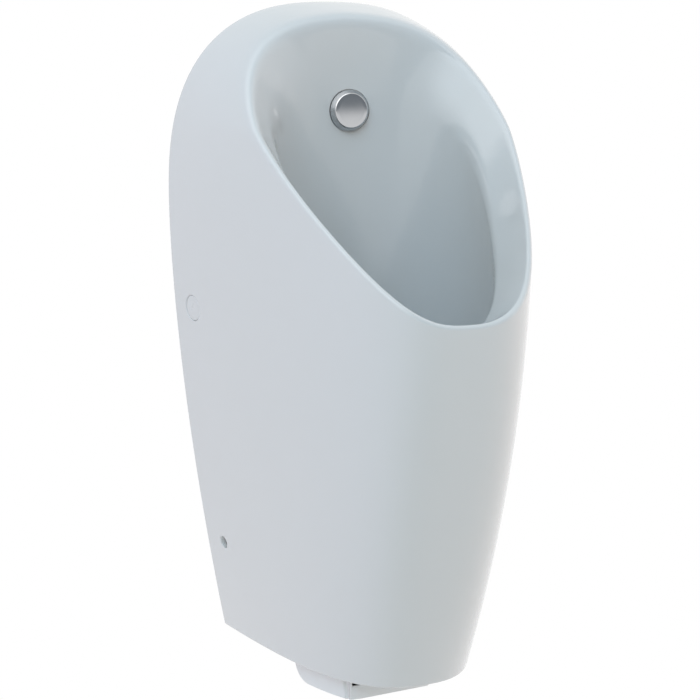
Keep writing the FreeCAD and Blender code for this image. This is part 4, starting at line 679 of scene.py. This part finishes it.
def foam_block(name, node, squareness=0.3):
    """Soft-edged block: a box-like superellipsoid, signed powers of sine and cosine of two angles."""
    low, high = corners(node)
    middle, reach = (low + high) / 2, (high - low) / 2
    rows, columns, steepest = 24, 96, 86
    across = np.radians(np.linspace(-steepest, steepest, rows))[:, None]
    round_ = np.linspace(0, 2 * np.pi, columns, endpoint=False)

    def power(v):
        return np.sign(v) * np.abs(v) ** squareness

    x = power(np.cos(across)) * power(np.cos(round_))
    z = power(np.cos(across)) * power(np.sin(round_))
    y = power(np.sin(across)) + 0 * round_
    ends = middle + np.array([[0, -reach[1], 0], [0, reach[1], 0]])
    return closed_rings(name, np.stack([x, y, z], -1) * reach + middle, ends)


# ------------------------------------------------------------------ finishes

def pattern(tree, scale, detail=3.0, stretch=(1, 1, 1), cells=False):
    """Value of a noise, or of a cell pattern, on Object coordinates; scale is in waves per metre."""
    place = tree.nodes.new("ShaderNodeTexCoord")
    mapping = tree.nodes.new("ShaderNodeMapping")
    mapping.inputs["Scale"].default_value = stretch
    texture = tree.nodes.new("ShaderNodeTexVoronoi" if cells else "ShaderNodeTexNoise")
    texture.inputs["Scale"].default_value = scale
    tree.links.new(place.outputs["Object"], mapping.inputs["Vector"])
    tree.links.new(mapping.outputs["Vector"], texture.inputs["Vector"])
    if cells:
        return texture.outputs["Color"]
    texture.inputs["Detail"].default_value = detail
    return texture.outputs["Fac"]


def finish(name, colour, rough, metal=0.0, mottle=(8, 0.02), vary=0.03, grain=(120, 0.02),
           fine=(900, 0.003), stretch=(1, 1, 1), cells=False, shader=()):
    """Material with mottled colour, uneven gloss and two sizes of relief, in waves per metre and mm."""
    material = bpy.data.materials.new(name)
    material.use_nodes = True
    tree = material.node_tree
    surface = tree.nodes["Principled BSDF"]
    surface.inputs["Metallic"].default_value = metal
    for socket, value in shader:
        surface.inputs[socket].default_value = value
    mix = tree.nodes.new("ShaderNodeMix")
    mix.data_type = "RGBA"
    scale, share = mottle
    for socket, factor in ((6, 1 - share), (7, 1 + share)):
        mix.inputs[socket].default_value = (*(min(c * factor, 1) for c in colour), 1)
    tree.links.new(pattern(tree, scale, 3, stretch, cells), mix.inputs[0])
    tree.links.new(mix.outputs[2], surface.inputs["Base Color"])
    gloss = tree.nodes.new("ShaderNodeMapRange")
    gloss.inputs["To Min"].default_value = rough - vary
    gloss.inputs["To Max"].default_value = rough + vary
    tree.links.new(pattern(tree, scale * 3, 4, stretch), gloss.inputs["Value"])
    tree.links.new(gloss.outputs["Result"], surface.inputs["Roughness"])
    relief = None
    for waves, height in (grain, fine):
        bump = tree.nodes.new("ShaderNodeBump")
        bump.inputs["Distance"].default_value = height * MM
        tree.links.new(pattern(tree, waves, 2, stretch), bump.inputs["Height"])
        if relief:
            tree.links.new(relief, bump.inputs["Normal"])
        relief = bump.outputs["Normal"]
    tree.links.new(relief, surface.inputs["Normal"])
    return material


FINISHES = {
    "glazed_ceramic": finish("glaze", (0.61, 0.61, 0.605), 0.16, mottle=(5, 0.006), vary=0.02,
                             grain=(70, 0.03), fine=(260, 0.003),
                             shader=[("Coat Weight", 0.4), ("Coat Roughness", 0.05)]),
    "cap_plastic": finish("cap plastic", (0.62, 0.62, 0.615), 0.28, grain=(400, 0.004)),
    "cover_plastic": finish("cover plastic", (0.70, 0.70, 0.695), 0.42, grain=(700, 0.012),
                            fine=(2500, 0.006)),
    "stainless_steel": finish("stainless steel", (0.60, 0.60, 0.60), 0.3, 1.0, mottle=(60, 0.05),
                              vary=0.08, grain=(30, 0.002), fine=(60, 0.002), stretch=(1, 18, 18)),
    "galvanised_steel": finish("galvanised steel", (0.55, 0.57, 0.58), 0.42, 0.9, mottle=(110, 0.16),
                               vary=0.08, grain=(90, 0.02), cells=True),
    "chrome": finish("chrome", (0.53, 0.54, 0.555), 0.08, 1.0, mottle=(40, 0.01), vary=0.02,
                     grain=(60, 0.002), fine=(600, 0.0004)),
    "brass": finish("brass", (0.62, 0.44, 0.19), 0.3, 1.0, mottle=(80, 0.08), vary=0.06,
                    grain=(300, 0.006)),
    "black_rubber": finish("black rubber", (0.028, 0.028, 0.028), 0.7, mottle=(90, 0.2),
                           grain=(900, 0.01)),
    "hose_rubber": finish("hose rubber", (0.045, 0.045, 0.048), 0.62, mottle=(40, 0.2), grain=(500, 0.03),
                          stretch=(0.4, 0.4, 1.6)),
    "black_plastic": finish("black plastic", (0.035, 0.035, 0.038), 0.45, mottle=(50, 0.12),
                            grain=(1200, 0.01)),
    "grey_plastic": finish("grey plastic", (0.28, 0.29, 0.30), 0.42, mottle=(20, 0.04),
                           grain=(500, 0.015)),
    "circuit_board": finish("circuit board", (0.02, 0.14, 0.06), 0.35, mottle=(350, 0.25),
                            grain=(300, 0.02), cells=True),
    "battery_wrap": finish("battery sleeve", (0.07, 0.10, 0.17), 0.3, mottle=(30, 0.06),
                           grain=(120, 0.03)),
}


def paint(piece, slot):
    """Give the slot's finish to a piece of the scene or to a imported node."""
    if not len(piece.material_slots):
        piece.data.materials.append(None)
    for place in piece.material_slots:
        place.material = FINISHES[slot]


def carried(piece, owner, slot, *nodes):
    """Piece rides on its body, stands for the nodes and takes the slot's finish."""
    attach(piece, owner)
    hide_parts(*nodes)
    paint(piece, slot)
    return piece


for part in frame["record"]["subparts"]:
    paint(frame["nodes"][part["node"]], part["material_slot"])

HOSE_RADIUS, LEAD_RADIUS = 9, 2.2
HOSE_ROUTE = [(0, -27, 529.5), (0, -27, 399.5), (62, -30, 265.5), (62, -30, 135.5)]
SENSOR_ROUTE = [(-32, -43, 400), (-32, -43, 345), (-41, -41, 289), (-55, -38, 234), (-72, -34, 195),
                (-80, -30, 147), (-80, -30, 107)]
VALVE_ROUTE = [(41, -68.5, 116.5), (27, -68.5, 116.5), (11, -64.5, 126.5), (-10, -59.5, 135.5),
               (-33, -50.5, 138.5), (-52, -38, 132), (-60, -30, 118), (-60, -30, 107)]
WIRE_RADIUS, COILS, PLUNGER_STROKE = 0.4, 6, 2.5

carried(ceramic_body(), "urinal", "glazed_ceramic", "ceramic_body")
carried(side_cap(1), "urinal", "cap_plastic", "side_cover_caps")
carried(side_cap(-1), "urinal", "cap_plastic", "side_cover_caps")
carried(nozzle_cap(), "urinal", "chrome", "spray_nozzle_cap")
carried(tray(), "cover", "cover_plastic", "service_cover")
carried(smooth_tube("supply_hose", HOSE_RADIUS, HOSE_ROUTE), "urinal", "hose_rubber", "flush_hose")
carried(smooth_tube("sensor_lead", LEAD_RADIUS, SENSOR_ROUTE), "urinal", "black_rubber", "sensor_cable")
carried(smooth_tube("valve_lead", LEAD_RADIUS, VALVE_ROUTE), "urinal", "black_rubber", "valve_cable")
pad = carried(foam_block("foam_pad", "sensor_pad"), "urinal", "black_rubber", "sensor_pad")
spring = carried(coil("return_spring", "plunger_spring", WIRE_RADIUS, COILS), "urinal", "stainless_steel",
                 "plunger_spring")
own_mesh(spring)


# ------------------------------------------------------------------ camera, light and floor

CAMERA_PLACE, LENS, SENSOR = (-698.18, -1808.03, 624.23), 95.58, 36.0
CAMERA_TURN, CAMERA_RISE = math.radians(-21.82), math.radians(9.86)
AIM, LAMP_SIDE = (0, -0.15, 0.35), 2.0
# Way and edges of the patch of painted highlight that only reflections see in the world.
PAINTED_GLINT_WAY, PAINTED_GLINT_EDGE = (-0.5, -0.3, 0.8), (0.6, 0.9)
LAMPS = [("left", (-3.2, 0.8, 0.5), 20, (0.8, 0.7, 1.0)),
         ("key", (-1.5, -1.8, 2.4), 39, (0.5, 0.77, 1.0)),
         ("top", (0.2, -0.7, 3.2), 9, (0.05, 0.4, 1.0)),
         ("right front", (1.6, -1.6, 2.2), 5, (0.4, 0.72, 1.0)),
         ("right", (3.2, -0.5, 0.3), 40, (1.0, 0.87, 0.88))]


def set_up(name, data, place, forward):
    """Object with its -z axis forward, at a place in metres."""
    thing = bpy.data.objects.new(name, data)
    thing.location = place
    thing.rotation_mode = "QUATERNION"
    thing.rotation_quaternion = forward.to_track_quat("-Z", "Y")
    bpy.context.scene.collection.objects.link(thing)
    return thing


def add_camera():
    """Camera of the photograph, as solved from the outline."""
    back = Vector((math.sin(CAMERA_TURN) * math.cos(CAMERA_RISE),
                   -math.cos(CAMERA_TURN) * math.cos(CAMERA_RISE), math.sin(CAMERA_RISE)))
    data = bpy.data.cameras.new("camera")
    data.sensor_width, data.lens = SENSOR, LENS
    bpy.context.scene.camera = set_up("camera", data, Vector(CAMERA_PLACE) * MM, -back)


def add_lamp(name, place, power, colour):
    """Square soft box aimed at the middle of the object; reflections don't show it."""
    data = bpy.data.lights.new(name, "AREA")
    data.shape, data.size, data.size_y = "RECTANGLE", LAMP_SIDE, LAMP_SIDE
    data.energy, data.color = power, colour
    lamp = set_up(name, data, place, Vector(AIM) - Vector(place))
    lamp.visible_glossy = False


def linked(tree, *pairs):
    """Join outputs to inputs, given in pairs."""
    for source, goal in pairs:
        tree.links.new(source, goal)


def seen_directly(tree):
    """1 for camera, glossy and transmission rays, 0 for all others."""
    path = tree.nodes.new("ShaderNodeLightPath")
    value = path.outputs["Is Camera Ray"]
    for ray in ("Is Glossy Ray", "Is Transmission Ray"):
        more = tree.nodes.new("ShaderNodeMath")
        more.operation = "MAXIMUM"
        tree.links.new(value, more.inputs[0])
        tree.links.new(path.outputs[ray], more.inputs[1])
        value = more.outputs[0]
    return value


def add_world(down, level, up, painted_glint):
    """Soft ambient light that changes from below over the horizon to above.

    The camera and reflections see white instead, and reflections a brighter patch on the upper left: a
    painted highlight on the chrome and the glaze, which lights nothing else.
    """
    world = bpy.data.worlds.new("studio")
    bpy.context.scene.world = world
    world.use_nodes = True
    tree = world.node_tree
    way, split = tree.nodes.new("ShaderNodeTexCoord"), tree.nodes.new("ShaderNodeSeparateXYZ")
    height, ramp = tree.nodes.new("ShaderNodeMapRange"), tree.nodes.new("ShaderNodeValToRGB")
    height.inputs["From Min"].default_value = -1.0
    ramp.color_ramp.elements.new(0.5)
    for stop, colour in zip(ramp.color_ramp.elements, (down, level, up)):
        stop.color = (*colour, 1)
    soft = tree.nodes["Background"]
    white = tree.nodes.new("ShaderNodeBackground")
    white.inputs["Color"].default_value = (1, 1, 1, 1)
    facing, patch = tree.nodes.new("ShaderNodeVectorMath"), tree.nodes.new("ShaderNodeMapRange")
    facing.operation = "DOT_PRODUCT"
    facing.inputs[1].default_value = Vector(PAINTED_GLINT_WAY).normalized()
    patch.interpolation_type = "SMOOTHSTEP"
    patch.inputs["From Min"].default_value, patch.inputs["From Max"].default_value = PAINTED_GLINT_EDGE
    patch.inputs["To Min"].default_value, patch.inputs["To Max"].default_value = 1.0, painted_glint
    mix = tree.nodes.new("ShaderNodeMixShader")
    linked(tree, (way.outputs["Generated"], split.inputs[0]), (split.outputs["Z"], height.inputs["Value"]),
           (height.outputs["Result"], ramp.inputs["Fac"]), (ramp.outputs["Color"], soft.inputs["Color"]),
           (way.outputs["Generated"], facing.inputs[0]), (facing.outputs["Value"], patch.inputs["Value"]),
           (patch.outputs["Result"], white.inputs["Strength"]), (seen_directly(tree), mix.inputs[0]),
           (soft.outputs[0], mix.inputs[1]), (white.outputs[0], mix.inputs[2]),
           (mix.outputs[0], tree.nodes["World Output"].inputs["Surface"]))


def flat_stage(name, points):
    """Flat sheet of the stage, with the node tree of its material."""
    mesh = bpy.data.meshes.new(name)
    mesh.from_pydata(points, [], [[0, 1, 2, 3]])
    sheet = add_object(name, mesh)
    material = bpy.data.materials.new(name + " paint")
    material.use_nodes = True
    sheet.data.materials.append(material)
    return sheet, material.node_tree


def add_floor(level, reach):
    """Pale floor that looks white; from below it isn't seen, so the underside shows."""
    tree = flat_stage("floor", [(-reach, -reach, level), (reach, -reach, level),
                                (reach, reach, level), (-reach, reach, level)])[1]
    surface = tree.nodes["Principled BSDF"]
    surface.inputs["Base Color"].default_value = (0.82, 0.82, 0.82, 1)
    surface.inputs["Roughness"].default_value = 0.8
    glow, clear = tree.nodes.new("ShaderNodeEmission"), tree.nodes.new("ShaderNodeBsdfTransparent")
    side = tree.nodes.new("ShaderNodeNewGeometry")
    shown, both = tree.nodes.new("ShaderNodeMixShader"), tree.nodes.new("ShaderNodeMixShader")
    linked(tree, (seen_directly(tree), shown.inputs[0]), (surface.outputs[0], shown.inputs[1]),
           (glow.outputs[0], shown.inputs[2]), (side.outputs["Backfacing"], both.inputs[0]),
           (shown.outputs[0], both.inputs[1]), (clear.outputs[0], both.inputs[2]),
           (both.outputs[0], tree.nodes["Material Output"].inputs["Surface"]))


def add_card(left, right, y, low, high, fade_height, painted_reflection_grey):
    """Dark card far in front of the object that only reflections see, its lower edge soft: a painted dark
    reflection on the chrome and the glaze, which casts no shadow.
    """
    card, tree = flat_stage("painted_reflection_card", [(left, y, low), (right, y, low), (right, y, high),
                                          (left, y, high)])
    for ray in ("camera", "diffuse", "transmission", "shadow", "volume_scatter"):
        setattr(card, "visible_" + ray, False)
    tree.nodes.remove(tree.nodes["Principled BSDF"])
    place, split = tree.nodes.new("ShaderNodeTexCoord"), tree.nodes.new("ShaderNodeSeparateXYZ")
    fade = tree.nodes.new("ShaderNodeMapRange")
    fade.inputs["From Min"].default_value, fade.inputs["From Max"].default_value = low, low + fade_height
    glow, clear = tree.nodes.new("ShaderNodeEmission"), tree.nodes.new("ShaderNodeBsdfTransparent")
    glow.inputs["Color"].default_value = (*painted_reflection_grey, 1)
    mix = tree.nodes.new("ShaderNodeMixShader")
    linked(tree, (place.outputs["Object"], split.inputs[0]), (split.outputs["Z"], fade.inputs["Value"]),
           (fade.outputs["Result"], mix.inputs[0]), (clear.outputs[0], mix.inputs[1]),
           (glow.outputs[0], mix.inputs[2]),
           (mix.outputs[0], tree.nodes["Material Output"].inputs["Surface"]))


bpy.context.scene.view_settings.view_transform = "Standard"
add_camera()
# The last value is the strength of the painted highlight patch that only reflections see.
add_world(down=(0.25, 0.25, 0.25), level=(0.45, 0.45, 0.45), up=(0.88, 0.86, 0.75), painted_glint=2.3)
add_floor(level=-0.45, reach=6.0)
# Painted dark reflection: a grey card that only reflections see, darkening the upper half of the chrome
# face.
add_card(left=-1.2, right=4.0, y=-4.0, low=0.27, high=5.0, fade_height=0.16, painted_reflection_grey=(0.26, 0.285, 0.31))
for lamp in LAMPS:
    add_lamp(*lamp)
